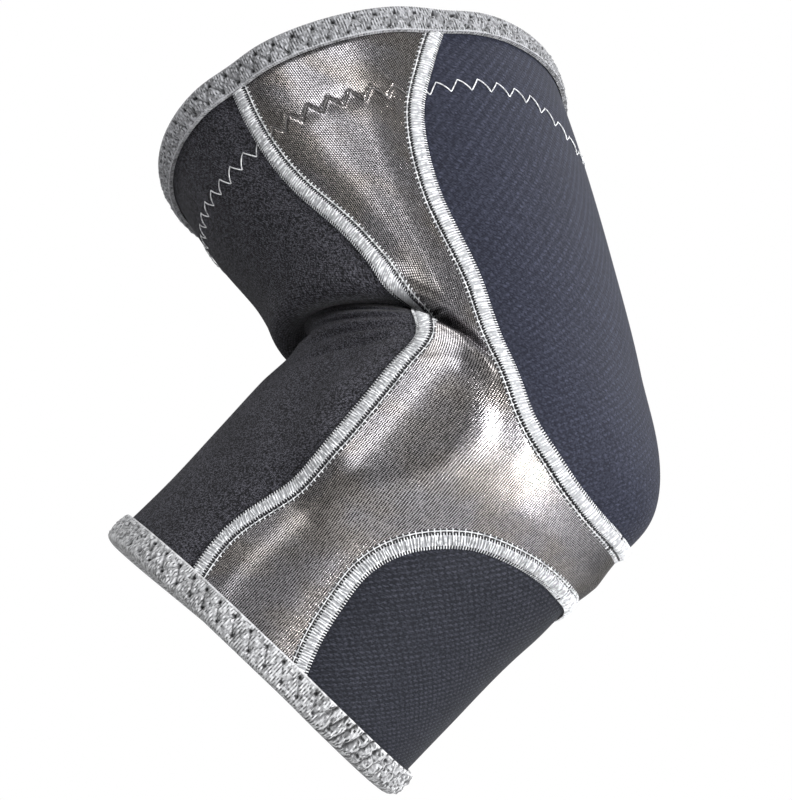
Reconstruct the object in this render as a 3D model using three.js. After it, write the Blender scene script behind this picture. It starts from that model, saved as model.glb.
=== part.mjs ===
// A pull-on elbow brace in the shape that it has on a bent arm. Four knitted neoprene panels
// are butted edge to edge under flat seams, and a folded elastic binding closes each end.
// The arm bends in the XZ plane. The origin is the elbow's centre, where the upper arm's
// axis meets the forearm's. The front, where the crook is, faces -X, and the elbow point +X.
import * as THREE from "three";

// The limb that the brace fits, in millimetres and degrees. Depth is front to back.
const UPPER_LENGTH = 87; // elbow centre to upper hem
const UPPER_DEPTH = 101;
const UPPER_BREADTH = 100;
const UPPER_LEAN = 16.5; // the upper arm's axis leans forward of +Z
const UPPER_HEM_TILT = 13.5; // the hem rises to the back
const ELBOW_DEPTH = 100; // crook to elbow point
const ELBOW_BREADTH = 80;
const ELBOW_TILT = -24;
const FOREARM_LENGTH = 76.5; // elbow centre to forearm hem
const FOREARM_DEPTH = 94;
const FOREARM_BREADTH = 76;
const FOREARM_LEAN = 46; // the forearm's axis leans forward of -Z
const FOREARM_HEM_TILT = -45.5;
const FOREARM_HEM_ARCH = 1.5; // the hem's sides ride up towards the elbow

// Cloth, seams and bindings
const WALL = 2.6;
const PIECE_GAP = 0.3; // between neighbouring pieces
const SEAM_GAP = 0.5; // under a seam, which also clears the facets' corners
const SEAM_WIDTH = 3.2;
const SEAM_RISE = 0.6;
const SEAM_CROWN = 0.2; // the middle of a seam stands above its edges
const HEM_WIDTH = 6.2; // how far a binding reaches over the cloth
const HEM_CLOTH = 1; // the binding's own thickness

// How deep the crook's crease is, and how far the arm's two bulges stand out
const CREASE_DEPTH = 6;
const CREASE_HALF_WIDTH = 4;
const MUSCLE_RISE = 3;
const ELBOW_POINT_RISE = 2.2;

// A section of the arm in each row. Reach is a share of the upper arm's length, or if it is
// negative of the forearm's. Tilt is a share of the way from the elbow's tilt to the hem's.
// Front, back and side are shares of the half depth and half breadth there.
const SECTIONS = [
  { reach: 1.0, tilt: 1.0, front: 1.03, back: 0.96, side: 1.0 },
  { reach: 0.73, tilt: 0.88, front: 0.94, back: 0.96, side: 1.0 },
  { reach: 0.46, tilt: 0.7, front: 0.82, back: 0.95, side: 0.99 },
  { reach: 0.2, tilt: 0.4, front: 0.81, back: 0.96, side: 0.98 },
  { reach: 0.0, tilt: 0.0, front: 0.9, back: 1.0, side: 1.0 },
  { reach: -0.25, tilt: 0.5, front: 0.88, back: 1.08, side: 1.02 },
  { reach: -0.5, tilt: 0.8, front: 0.87, back: 1.0, side: 1.04 },
  { reach: -0.75, tilt: 0.95, front: 0.89, back: 1.0, side: 1.02 },
  { reach: -1.0, tilt: 1.0, front: 0.94, back: 1.01, side: 1.0 },
];

// Seam routes on the sleeve. Along runs from 0 at the upper hem to 1 at the forearm hem, and
// around from 0 at the middle of the front to 1 at the middle of the back.
const FRONT_SEAM = [
  { along: 0.0, around: 0.39 },
  { along: 0.1, around: 0.383 },
  { along: 0.2, around: 0.398 },
  { along: 0.3, around: 0.457 },
  { along: 0.4, around: 0.512 },
  { along: 0.45, around: 0.519 },
  { along: 0.53, around: 0.495 },
  { along: 0.62, around: 0.497 },
  { along: 0.74, around: 0.503 },
  { along: 0.88, around: 0.459 },
  { along: 1.0, around: 0.478 },
];
const REAR_SEAM = [
  { along: 0.0, around: 0.75 },
  { along: 0.07, around: 0.69 },
  { along: 0.15, around: 0.635 },
  { along: 0.25, around: 0.612 },
  { along: 0.36, around: 0.634 },
  { along: 0.45, around: 0.643 },
  { along: 0.52, around: 0.69 },
  { along: 0.56, around: 0.79 },
  { along: 0.578, around: 0.89 },
  { along: 0.582, around: 1.0 },
];
const FOREARM_SEAM = [
  { along: 1.0, around: 0.73 },
  { along: 0.92, around: 0.697 },
  { along: 0.86, around: 0.683 },
  { along: 0.8, around: 0.678 },
  { along: 0.75, around: 0.693 },
  { along: 0.71, around: 0.725 },
  { along: 0.68, around: 0.775 },
  { along: 0.665, around: 0.85 },
  { along: 0.66, around: 0.93 },
  { along: 0.66, around: 1.0 },
];

// The crease dips at the front of the arm and drops away round its side.
const CREASE_ALONG = 0.405;
const CREASE_TURN = 0.47; // around, where it is highest
const CREASE_END = 0.64; // around, where it has run out
const CREASE_FRONT_DIP = 0.022;
const CREASE_SIDE_DROP = 0.075;
const BULGES = [
  { rise: MUSCLE_RISE, along: 0.56, around: 0.5, length: 0.1, width: 0.16 },
  { rise: ELBOW_POINT_RISE, along: 0.55, around: 1, length: 0.045, width: 0.25 },
];

// How finely each piece is faceted
const FRONT_COLUMNS = 16;
const SIDE_COLUMNS = 8;
const BACK_COLUMNS = 10;
const HEM_STEPS = 56;
const ROW_MERGE = 0.012; // rows of facets closer than this are one
const SEAM_MERGE = 0.004; // and steps of a seam, in shares of its route
const STRIP_COLUMNS = 5;
const STEP = 1e-3; // in along and around, for slopes of the surface

// The elbow panel's strip behind the elbow: its rows on the front seam, in along, and the
// corners from which it runs on over the back, in shares of the other two seams' routes
const STRIP_TOP = 0.52;
const STRIP_BOTTOM = 0.7;
const REAR_CORNER = 0.66;
const FOREARM_CORNER = 0.58;

const mix = THREE.MathUtils.lerp;
const radians = THREE.MathUtils.degToRad;
const smooth = THREE.MathUtils.smoothstep;
const bell = (x) => Math.exp(-x * x);

const throughPoints = (points) => new THREE.CatmullRomCurve3(points, false, "catmullrom", 0.5);

// A curve through each section's front, one through its back, and one of its half breadths
function makeRails() {
  const upper = new THREE.Vector3(-Math.sin(radians(UPPER_LEAN)), 0, Math.cos(radians(UPPER_LEAN)));
  const lower = new THREE.Vector3(
    -Math.sin(radians(FOREARM_LEAN)),
    0,
    -Math.cos(radians(FOREARM_LEAN)),
  );
  const fronts = [];
  const backs = [];
  const sides = [];
  for (const { reach, tilt, front, back, side } of SECTIONS) {
    const onUpper = reach >= 0;
    const share = Math.abs(reach);
    const centre = onUpper
      ? upper.clone().multiplyScalar(UPPER_LENGTH * share)
      : lower.clone().multiplyScalar(FOREARM_LENGTH * share);
    const angle = radians(mix(ELBOW_TILT, onUpper ? UPPER_HEM_TILT : FOREARM_HEM_TILT, tilt));
    const halfDepth = mix(ELBOW_DEPTH, onUpper ? UPPER_DEPTH : FOREARM_DEPTH, share) / 2;
    const halfBreadth = mix(ELBOW_BREADTH, onUpper ? UPPER_BREADTH : FOREARM_BREADTH, share) / 2;
    const backwards = new THREE.Vector3(Math.cos(angle), 0, Math.sin(angle));
    fronts.push(centre.clone().addScaledVector(backwards, -halfDepth * front));
    backs.push(centre.clone().addScaledVector(backwards, halfDepth * back));
    sides.push(new THREE.Vector3(halfBreadth * side, 0, 0));
  }
  return [fronts, backs, sides].map(throughPoints);
}
const [FRONT_RAIL, BACK_RAIL, SIDE_RAIL] = makeRails();

// The smooth arm under the cloth's creases. Around runs on past 1 to the other side.
function armPoint(along, around) {
  const share = THREE.MathUtils.clamp(along, 0, 1);
  const front = FRONT_RAIL.getPoint(share);
  const back = BACK_RAIL.getPoint(share);
  const angle = Math.PI * around;
  const middle = front.clone().add(back).multiplyScalar(0.5);
  const halfDepth = back.sub(front).multiplyScalar(0.5);
  const towardsUpper = new THREE.Vector3(-halfDepth.z, 0, halfDepth.x).normalize();
  const arch = FOREARM_HEM_ARCH * Math.max(0, 2 * share - 1) ** 2;
  const point = middle.addScaledVector(halfDepth, -Math.cos(angle));
  point.y = -SIDE_RAIL.getPoint(share).x * Math.sin(angle);
  return point.addScaledVector(towardsUpper, arch * Math.sin(angle) ** 2);
}

// How far round from the middle of the front, whichever side it is on
const fromFront = (around) => {
  const turned = Math.abs(around) % 2;
  return turned > 1 ? 2 - turned : turned;
};

function creaseAlong(around) {
  const w = fromFront(around);
  const dip = CREASE_FRONT_DIP * Math.max(0, 1 - w / CREASE_TURN) ** 2;
  const past = (Math.min(w, CREASE_END) - CREASE_TURN) / (CREASE_END - CREASE_TURN);
  return CREASE_ALONG + dip + CREASE_SIDE_DROP * Math.max(0, past) ** 2;
}

// A vector per unit of along, or of around
function slope(pointAt, station, key) {
  const before = { ...station, [key]: station[key] - STEP };
  const after = { ...station, [key]: station[key] + STEP };
  if (key === "along" && before.along < 0) before.along = 0;
  if (key === "along" && after.along > 1) after.along = 1;
  const span = after[key] - before[key];
  return pointAt(after).sub(pointAt(before)).divideScalar(span);
}

function normalOf(pointAt, station) {
  return slope(pointAt, station, "along").cross(slope(pointAt, station, "around")).normalize();
}

const bare = ({ along, around }) => armPoint(along, around);

// The cloth's outer face: the arm, with its bulges and the crook's crease
function outer(station) {
  const { along, around } = station;
  const w = fromFront(around);
  const length = slope(bare, station, "along").length();
  const offCrease = ((along - creaseAlong(around)) * length) / CREASE_HALF_WIDTH;
  const fade = 1 - smooth(w, CREASE_TURN, CREASE_END);
  let relief = -CREASE_DEPTH * fade * bell(offCrease);
  for (const bulge of BULGES) {
    const lengthwise = bell((along - bulge.along) / bulge.length);
    relief += bulge.rise * lengthwise * bell((w - bulge.around) / bulge.width);
  }
  return bare(station).addScaledVector(normalOf(bare, station), relief);
}

// Straight out of the arm from the cloth's face, so that a wall stays whole in the crease
const lifted = (station, height) =>
  outer(station).addScaledVector(normalOf(bare, station), height);

// A seam's route as a curve of {along, around}
class Route {
  constructor(rows) {
    this.curve = throughPoints(rows.map((r) => new THREE.Vector3(r.along, r.around, 0)));
    this.runsDown = this.at(1).along > this.at(0).along;
  }
  at(share) {
    const p = this.curve.getPoint(share);
    return { along: p.x, around: p.y };
  }
  // The share of the route at which it reaches that along, on a route that runs one way
  shareAt(along) {
    let [low, high] = [0, 1];
    for (let i = 0; i < 40; i++) {
      const middle = (low + high) / 2;
      if (this.at(middle).along < along === this.runsDown) low = middle;
      else high = middle;
    }
    return (low + high) / 2;
  }
  // Unit vectors at a place on the seam: across it in the cloth, and out of the cloth
  frame(share) {
    const here = this.at(share);
    const next = outer(this.at(Math.min(1, share + STEP)));
    const last = outer(this.at(Math.max(0, share - STEP)));
    const out = normalOf(bare, here);
    const side = new THREE.Vector3().crossVectors(out, next.sub(last)).normalize();
    return { here, side, out };
  }
  // The station that lies that many millimetres beside the seam, or if negative on the side
  // that is towards the front
  beside(share, distance) {
    const { here, side } = this.frame(share);
    const across = side.multiplyScalar(this.runsDown ? 1 : -1);
    const a = slope(outer, here, "along");
    const b = slope(outer, here, "around");
    const [aa, ab, bb] = [a.dot(a), a.dot(b), b.dot(b)];
    const [ra, rb] = [across.dot(a) * distance, across.dot(b) * distance];
    const determinant = aa * bb - ab * ab;
    const station = {
      along: here.along + (ra * bb - rb * ab) / determinant,
      around: here.around + (rb * aa - ra * ab) / determinant,
    };
    // The cut ends of a panel stay on the hem's line and on the middle of the back.
    if (here.along === 0 || here.along === 1) station.along = here.along;
    if (here.around === 1) station.around = 1;
    return station;
  }
}
const frontRoute = new Route(FRONT_SEAM);
const rearRoute = new Route(REAR_SEAM);
const forearmRoute = new Route(FOREARM_SEAM);

// Stations from one edge of a panel to the other, bent to run beside the crease near it
function across(from, to, columns) {
  const row = [];
  for (let j = 0; j <= columns; j++) {
    const share = j / columns;
    const around = mix(from.around, to.around, share);
    const along = mix(from.along, to.along, share);
    const straight = mix(creaseAlong(from.around), creaseAlong(to.around), share);
    const near = bell((along - straight) / 0.12);
    row.push({ along: along + (creaseAlong(around) - straight) * near, around });
  }
  return row;
}

const mirrored = ({ along, around }) => ({ along, around: -around });

// The two triangles of each cell of a grid of stations, facing out of the sleeve
function cellsOf(rows) {
  const triangles = [];
  for (let i = 0; i + 1 < rows.length; i++) {
    for (let j = 0; j + 1 < rows[i].length; j++) {
      const [a, b, c, d] = [rows[i][j], rows[i + 1][j], rows[i + 1][j + 1], rows[i][j + 1]];
      triangles.push([a, b, c], [a, c, d]);
    }
  }
  return triangles;
}

function geometryFrom(points, faces) {
  const geometry = new THREE.BufferGeometry();
  const numbers = points.flatMap((p) => p.toArray());
  geometry.setAttribute("position", new THREE.Float32BufferAttribute(numbers, 3));
  geometry.setIndex(faces.flat());
  geometry.computeVertexNormals();
  return geometry;
}

// A sheet of triangles of stations, made a wall of cloth
function clothWall(triangles) {
  const places = new Map();
  const stations = [];
  const indexOf = (station) => {
    const key = outer(station)
      .toArray()
      .map((x) => Math.round(x * 1000) + 0)
      .join();
    if (!places.has(key)) places.set(key, stations.push(station) - 1);
    return places.get(key);
  };
  const sheet = triangles
    .map((corners) => corners.map(indexOf))
    .filter(([a, b, c]) => a !== b && b !== c && c !== a);
  const edges = new Set(sheet.flatMap(([a, b, c]) => [`${a},${b}`, `${b},${c}`, `${c},${a}`]));
  const count = stations.length;
  const faces = sheet.flatMap(([a, b, c]) => [
    [a, b, c],
    [c + count, b + count, a + count],
  ]);
  for (const edge of edges) {
    const [a, b] = edge.split(",").map(Number);
    if (edges.has(`${b},${a}`)) continue;
    // Both sides of a seam split their twisted edge faces along the same diagonal.
    if (stations[a].along > stations[b].along) faces.push([b, a, a + count], [b, a + count, b + count]);
    else faces.push([b, a, b + count], [a, a + count, b + count]);
  }
  const inner = stations.map((station) => lifted(station, -WALL));
  return geometryFrom([...stations.map(outer), ...inner], faces);
}

// A closed section swept from ring to ring. Each ring is a list of points, in the same order.
function sweep(rings, closed) {
  const sides = rings[0].length;
  const faces = [];
  const last = closed ? rings.length : rings.length - 1;
  for (let i = 0; i < last; i++) {
    for (let j = 0; j < sides; j++) {
      const k = (j + 1) % sides;
      const next = (i + 1) % rings.length;
      const [a, b] = [i * sides + j, i * sides + k];
      const [c, d] = [next * sides + k, next * sides + j];
      faces.push([a, b, c], [a, c, d]);
    }
  }
  if (!closed) {
    const end = (rings.length - 1) * sides;
    for (let j = 1; j + 1 < sides; j++) faces.push([0, j + 1, j], [end, end + j, end + j + 1]);
  }
  return geometryFrom(rings.flat(), faces);
}

// Where the panels' rows cross the front seam, closer together at the crease
function frontRows() {
  const creaseHere = creaseAlong(frontRoute.at(frontRoute.shareAt(CREASE_ALONG)).around);
  const cluster = [-0.075, -0.048, -0.024, 0, 0.024, 0.048, 0.075].map((x) => creaseHere + x);
  const spread = (from, to, count) =>
    Array.from({ length: count }, (_, i) => mix(from, to, i / count));
  const above = spread(0, cluster[0], 10);
  const below = spread(1, cluster.at(-1), 14).reverse();
  return [...above, ...cluster, ...below];
}
const ROWS = frontRows();

// The elbow panel's rows run from the front seam to the rear seam, then to the straight edge of
// the strip behind the elbow, then to the forearm seam. STRIP_TOP and STRIP_BOTTOM are where on
// the front seam that changes, and the corners are where on the other two seams.
const CORNER_ROWS = [STRIP_TOP, STRIP_BOTTOM];
const clearOfCorners = (along) => CORNER_ROWS.every((row) => Math.abs(along - row) > ROW_MERGE);
const PANEL_ROWS = [...ROWS.filter(clearOfCorners), ...CORNER_ROWS].sort((a, b) => a - b);
const UPPER_ROWS = PANEL_ROWS.filter((along) => along <= STRIP_TOP);
const STRIP_ROWS = PANEL_ROWS.filter((along) => along >= STRIP_TOP && along <= STRIP_BOTTOM);
const LOWER_ROWS = PANEL_ROWS.filter((along) => along >= STRIP_BOTTOM);
const REAR_AT_CREASE = rearRoute.shareAt(creaseAlong(CREASE_END));

// The shares of the rear and the forearm seam's routes where the panels have their corners
const rearShare = (along) =>
  along < CREASE_ALONG
    ? mix(0, REAR_AT_CREASE, along / CREASE_ALONG)
    : mix(REAR_AT_CREASE, REAR_CORNER, (along - CREASE_ALONG) / (STRIP_TOP - CREASE_ALONG));
const forearmShare = (along) =>
  mix(FOREARM_CORNER, 0, (along - STRIP_BOTTOM) / (1 - STRIP_BOTTOM));
const stripShares = (corner) =>
  Array.from({ length: STRIP_COLUMNS + 1 }, (_, i) => mix(corner, 1, i / STRIP_COLUMNS));
const REAR_SHARES = [...UPPER_ROWS.map(rearShare), ...stripShares(REAR_CORNER).slice(1)];
const FOREARM_SHARES = [
  ...LOWER_ROWS.map(forearmShare).reverse(),
  ...stripShares(FOREARM_CORNER).slice(1),
];

// A panel's cut edge beside a seam, and the line that it keeps parallel to that under the
// seam, so that the seam lies flat on it. Distances are positive away from the front.
const cutEdge = (route, share, sign) => route.beside(share, (sign * PIECE_GAP) / 2);
const selvedge = (route, share, sign) =>
  route.beside(share, sign * (SEAM_WIDTH / 2 + PIECE_GAP));

function frontPanel() {
  const rows = PANEL_ROWS.map((row) => {
    const share = frontRoute.shareAt(row);
    const edge = cutEdge(frontRoute, share, -1);
    const inside = selvedge(frontRoute, share, -1);
    return [mirrored(edge), ...across(mirrored(inside), inside, FRONT_COLUMNS), edge];
  });
  return clothWall(cellsOf(rows));
}

function elbowPanel() {
  const between = (top, bottom, row) => {
    const share = (row - STRIP_TOP) / (STRIP_BOTTOM - STRIP_TOP);
    return {
      along: mix(top.along, bottom.along, share),
      around: mix(top.around, bottom.around, share),
    };
  };
  const rowTo = (row, rear) => {
    const share = frontRoute.shareAt(row);
    const start = selvedge(frontRoute, share, 1);
    return [cutEdge(frontRoute, share, 1), ...across(start, rear, SIDE_COLUMNS)];
  };
  const rowToSeam = (route, shareOf) => (row) => {
    const share = shareOf(row);
    return [...rowTo(row, selvedge(route, share, -1)), cutEdge(route, share, -1)];
  };
  const upper = UPPER_ROWS.map(rowToSeam(rearRoute, rearShare));
  const lower = LOWER_ROWS.map(rowToSeam(forearmRoute, forearmShare));

  const tops = stripShares(REAR_CORNER);
  const bottoms = stripShares(FOREARM_CORNER);
  const topInside = tops.map((share) => selvedge(rearRoute, share, -1));
  const bottomInside = bottoms.map((share) => selvedge(forearmRoute, share, -1));
  const beside = STRIP_ROWS.map((row) => rowTo(row, between(topInside[0], bottomInside[0], row)));
  const strip = [
    tops.map((share) => cutEdge(rearRoute, share, -1)),
    ...STRIP_ROWS.map((row) => topInside.map((top, i) => between(top, bottomInside[i], row))),
    bottoms.map((share) => cutEdge(forearmRoute, share, -1)),
  ];

  const near = [upper, beside, lower, strip];
  const far = near.map((rows) => rows.map((row) => row.map(mirrored).reverse()));
  return clothWall([...near, ...far].flatMap(cellsOf));
}

// A panel across the back of the arm, between the two halves of one seam. Its rows sag
// towards the hem, so that they open out from the point where the halves meet.
function backPanel(route, shares) {
  const first = route.at(shares[0]).along;
  const last = selvedge(route, 1, 1).along;
  const rows = shares.map((routeShare, i) => {
    const edge = cutEdge(route, routeShare, 1);
    const inside = selvedge(route, routeShare, 1);
    const middle = mix(first, last, i / (shares.length - 1));
    const sagging = Array.from({ length: BACK_COLUMNS + 1 }, (_, j) => {
      const share = j / BACK_COLUMNS;
      const along = mix(inside.along, middle, Math.sin(Math.PI * share));
      return { along, around: mix(inside.around, 2 - inside.around, share) };
    });
    return [edge, ...sagging, { ...edge, around: 2 - edge.around }];
  });
  return clothWall(cellsOf(route.runsDown ? rows : rows.reverse()));
}

// The share of a route at which it comes out from under the binding at one of its ends
function clearOfHem(route, end) {
  const hem = route.at(end);
  const length = slope(bare, hem, "along").length();
  const cover = (HEM_WIDTH + PIECE_GAP + SEAM_WIDTH / 4) / length;
  return route.shareAt(hem.along === 0 ? cover : 1 - cover);
}

// The shares at which a seam is drawn: those of the panels' rows between two shares, and both
function seamShares(from, to, rowShares) {
  const between = rowShares.filter((x) => x > from + SEAM_MERGE && x < to - SEAM_MERGE);
  return [from, ...between.sort((a, b) => a - b), to];
}

// The raised flat seam's cross-section at a place on its route
function seamSection(route, share) {
  const half = route.runsDown ? SEAM_WIDTH / 2 : -SEAM_WIDTH / 2;
  const top = SEAM_GAP + SEAM_RISE;
  const corners = [
    [-half, SEAM_GAP],
    [half, SEAM_GAP],
    [half, top],
    [0, top + SEAM_CROWN],
    [-half, top],
  ];
  return corners.map(([distance, height]) => lifted(route.beside(share, distance), height));
}

const flipY = (point) => new THREE.Vector3(point.x, -point.y, point.z);

function frontSeam() {
  const rows = PANEL_ROWS.map((along) => frontRoute.shareAt(along));
  const shares = seamShares(clearOfHem(frontRoute, 0), clearOfHem(frontRoute, 1), rows);
  return shares.map((share) => seamSection(frontRoute, share));
}

// A seam that runs down one side, over the back and up the other side, as one ribbon
function seamOverBack(route, rowShares) {
  const shares = seamShares(clearOfHem(route, 0), 1, rowShares);
  const near = shares.map((share) => seamSection(route, share));
  const far = near.slice(0, -1).reverse();
  return [...near, ...far.map((ring) => ring.map(flipY))];
}

// A binding folded over a hem, swept round the sleeve
function hemBand(hem) {
  const inwards = hem === 0 ? 1 : -1;
  const low = -WALL - PIECE_GAP;
  const beyond = PIECE_GAP + HEM_CLOTH;
  const round = HEM_CLOTH / 2;
  const profile = [
    [HEM_WIDTH, PIECE_GAP],
    [HEM_WIDTH, beyond],
    [round - beyond, beyond],
    [-beyond, beyond - round],
    [-beyond, low - HEM_CLOTH + round],
    [round - beyond, low - HEM_CLOTH],
    [HEM_WIDTH, low - HEM_CLOTH],
    [HEM_WIDTH, low],
    [-PIECE_GAP, low],
    [-PIECE_GAP, PIECE_GAP],
  ];
  const rings = [];
  for (let i = 0; i < HEM_STEPS; i++) {
    const station = { along: hem, around: (2 * i) / HEM_STEPS };
    const run = slope(outer, station, "along");
    const length = run.length();
    rings.push(
      profile.map(([distance, height]) => {
        const inside = { ...station, along: hem + (inwards * Math.max(0, distance)) / length };
        const beyondEdge = run.clone().setLength(inwards * Math.min(0, distance));
        return lifted(inside, height).add(beyondEdge);
      }),
    );
  }
  return sweep(inwards === 1 ? rings.reverse() : rings, true);
}

const CHARCOAL = new THREE.MeshStandardMaterial({ color: 0x23242a, roughness: 0.85 });
const SILVER = new THREE.MeshStandardMaterial({ color: 0x8c8886, roughness: 0.35, metalness: 0.4 });
const NAVY = new THREE.MeshStandardMaterial({ color: 0x2a2e3b, roughness: 0.75 });
const THREAD = new THREE.MeshStandardMaterial({ color: 0xb4b7ba, roughness: 0.7 });
const HEATHER = new THREE.MeshStandardMaterial({ color: 0x84878a, roughness: 0.8 });

function piece(name, geometry, material) {
  const mesh = new THREE.Mesh(geometry, material);
  mesh.name = name;
  return mesh;
}

const seamRings = frontSeam();
const mirroredRings = seamRings.map((ring) => ring.map(flipY).reverse());

const brace = new THREE.Group();
brace.name = "elbow_brace";
brace.add(
  piece("front_panel", frontPanel(), CHARCOAL),
  piece("elbow_panel", elbowPanel(), SILVER),
  piece("rear_panel", backPanel(rearRoute, REAR_SHARES), NAVY),
  piece("forearm_panel", backPanel(forearmRoute, FOREARM_SHARES), NAVY),
  piece("front_seam_right", sweep(seamRings, false), THREAD),
  piece("front_seam_left", sweep(mirroredRings, false), THREAD),
  piece("rear_seam", sweep(seamOverBack(rearRoute, REAR_SHARES), false), THREAD),
  piece("forearm_seam", sweep(seamOverBack(forearmRoute, FOREARM_SHARES), false), THREAD),
  piece("upper_hem", hemBand(0), HEATHER),
  piece("forearm_hem", hemBand(1), HEATHER),
);

export default brace;
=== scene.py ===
# %% [markdown]
# # An elbow brace in knitted neoprene
# This brace is a pull-on sleeve, shown in the bent shape that it takes when it is worn. The
# imported CAD model gives the frame: every piece below is laid over it in metres, in the same
# axes. Its box is kept.

# %% The imported frame
import math

import bpy
import numpy as np
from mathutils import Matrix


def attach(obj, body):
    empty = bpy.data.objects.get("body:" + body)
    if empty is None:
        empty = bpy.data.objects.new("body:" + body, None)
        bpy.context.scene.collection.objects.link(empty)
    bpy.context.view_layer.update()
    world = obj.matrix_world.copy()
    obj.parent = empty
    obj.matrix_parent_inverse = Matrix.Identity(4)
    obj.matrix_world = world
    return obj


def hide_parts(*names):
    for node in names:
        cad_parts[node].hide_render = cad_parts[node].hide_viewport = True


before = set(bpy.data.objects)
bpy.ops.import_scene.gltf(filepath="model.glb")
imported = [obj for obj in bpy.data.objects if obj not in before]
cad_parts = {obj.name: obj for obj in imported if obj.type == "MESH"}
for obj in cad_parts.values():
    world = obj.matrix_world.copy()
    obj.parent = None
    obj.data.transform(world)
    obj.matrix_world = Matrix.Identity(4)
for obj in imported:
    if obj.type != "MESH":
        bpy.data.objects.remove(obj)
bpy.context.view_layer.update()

# %% [markdown]
# ## The form that the cloth lies on
# A sleeve has no shape of its own, so every piece is laid on one bent form. The form is nine
# ovals, whose fronts, backs and sides are joined by smooth curves. A place on it is given by
# two numbers: along, from 0 at the upper hem to 1 at the forearm hem, and around, from 0 at
# the middle of the front to 1 at the middle of the back. One function then serves the panels,
# the seams, the stitches and the hems alike, so they all stay together.

# %% Sizes of the form
MM = 0.001
UPPER_LENGTH = 87 * MM
UPPER_DEPTH = 101 * MM
UPPER_BREADTH = 100 * MM
UPPER_LEAN = math.radians(16.5)
UPPER_HEM_TILT = math.radians(13.5)
ELBOW_DEPTH = 100 * MM
ELBOW_BREADTH = 80 * MM
ELBOW_TILT = math.radians(-24)
FOREARM_LENGTH = 76.5 * MM
FOREARM_DEPTH = 94 * MM
FOREARM_BREADTH = 76 * MM
FOREARM_LEAN = math.radians(46)
FOREARM_HEM_TILT = math.radians(-45.5)
FOREARM_HEM_ARCH = 1.5 * MM
WALL = 2.6 * MM
PIECE_GAP = 0.3 * MM

# Reach is a share of the upper length, or if negative of the forearm length. Tilt is a share
# of the way to the hem's tilt. Front, back and side are shares of the half depth and breadth.
SECTIONS = [
    dict(reach=1.0, tilt=1.0, front=1.03, back=0.96, side=1.0),
    dict(reach=0.73, tilt=0.88, front=0.94, back=0.96, side=1.0),
    dict(reach=0.46, tilt=0.7, front=0.82, back=0.95, side=0.99),
    dict(reach=0.2, tilt=0.4, front=0.81, back=0.96, side=0.98),
    dict(reach=0.0, tilt=0.0, front=0.9, back=1.0, side=1.0),
    dict(reach=-0.25, tilt=0.5, front=0.88, back=1.08, side=1.02),
    dict(reach=-0.5, tilt=0.8, front=0.87, back=1.0, side=1.04),
    dict(reach=-0.75, tilt=0.95, front=0.89, back=1.0, side=1.02),
    dict(reach=-1.0, tilt=1.0, front=0.94, back=1.01, side=1.0),
]


# %% Smooth curves through a few rows
def through(rows, share):
    """The place at a share of a smooth curve through the rows"""
    rows = np.asarray(rows, float)
    padded = np.vstack([2 * rows[0] - rows[1], rows, 2 * rows[-1] - rows[-2]])
    place = np.clip(share, 0, 1) * (len(rows) - 1)
    index = np.minimum(place.astype(int), len(rows) - 2)
    w = (place - index)[..., None]
    before, start, end, after = (padded[index + k] for k in range(4))
    leaving = (end - before) / 2
    arriving = (after - start) / 2
    square = -3 * start + 3 * end - 2 * leaving - arriving
    cube = 2 * start - 2 * end + leaving + arriving
    return start + leaving * w + square * w**2 + cube * w**3


def mix(start, end, share):
    return start + (end - start) * share


def bell(x):
    return np.exp(-x * x)


def smooth(x, low, high):
    t = np.clip((x - low) / (high - low), 0, 1)
    return t * t * (3 - 2 * t)


def span(x, rise, fall):
    """1 between two slopes, and 0 outside them"""
    return smooth(x, *rise) * (1 - smooth(x, *fall))


def unit(vectors):
    return vectors / np.linalg.norm(vectors, axis=-1, keepdims=True)


def path_lengths(points):
    """The length of a path up to each of its points"""
    steps = np.linalg.norm(np.diff(points, axis=0), axis=-1)
    return np.concatenate([[0], np.cumsum(steps)])


# %% The rails along the form's front, back and side
def make_rails():
    upper = np.array([-math.sin(UPPER_LEAN), 0, math.cos(UPPER_LEAN)])
    lower = np.array([-math.sin(FOREARM_LEAN), 0, -math.cos(FOREARM_LEAN)])
    fronts, backs, sides = [], [], []
    for row in SECTIONS:
        on_upper = row["reach"] >= 0
        share = abs(row["reach"])
        centre = share * (upper * UPPER_LENGTH if on_upper else lower * FOREARM_LENGTH)
        angle = mix(ELBOW_TILT, UPPER_HEM_TILT if on_upper else FOREARM_HEM_TILT, row["tilt"])
        half_depth = mix(ELBOW_DEPTH, UPPER_DEPTH if on_upper else FOREARM_DEPTH, share) / 2
        half_breadth = mix(ELBOW_BREADTH, UPPER_BREADTH if on_upper else FOREARM_BREADTH, share) / 2
        backwards = np.array([math.cos(angle), 0, math.sin(angle)])
        fronts.append(centre - backwards * half_depth * row["front"])
        backs.append(centre + backwards * half_depth * row["back"])
        sides.append([half_breadth * row["side"]])
    return fronts, backs, sides


FRONT_RAIL, BACK_RAIL, SIDE_RAIL = make_rails()
STEP = 1e-3  # in along and around, for slopes


def form_point(along, around):
    share = np.clip(along, 0, 1)
    front = through(FRONT_RAIL, share)
    back = through(BACK_RAIL, share)
    side = through(SIDE_RAIL, share)[..., 0]
    angle = np.pi * np.asarray(around, float)
    half_depth = (back - front) / 2
    towards_upper = unit(np.stack([-half_depth[..., 2], 0 * side, half_depth[..., 0]], -1))
    arch = FOREARM_HEM_ARCH * np.maximum(0, 2 * share - 1) ** 2 * np.sin(angle) ** 2
    point = (front + back) / 2 - half_depth * np.cos(angle)[..., None]
    point = point + towards_upper * arch[..., None]
    point[..., 1] -= side * np.sin(angle)
    return point


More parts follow.
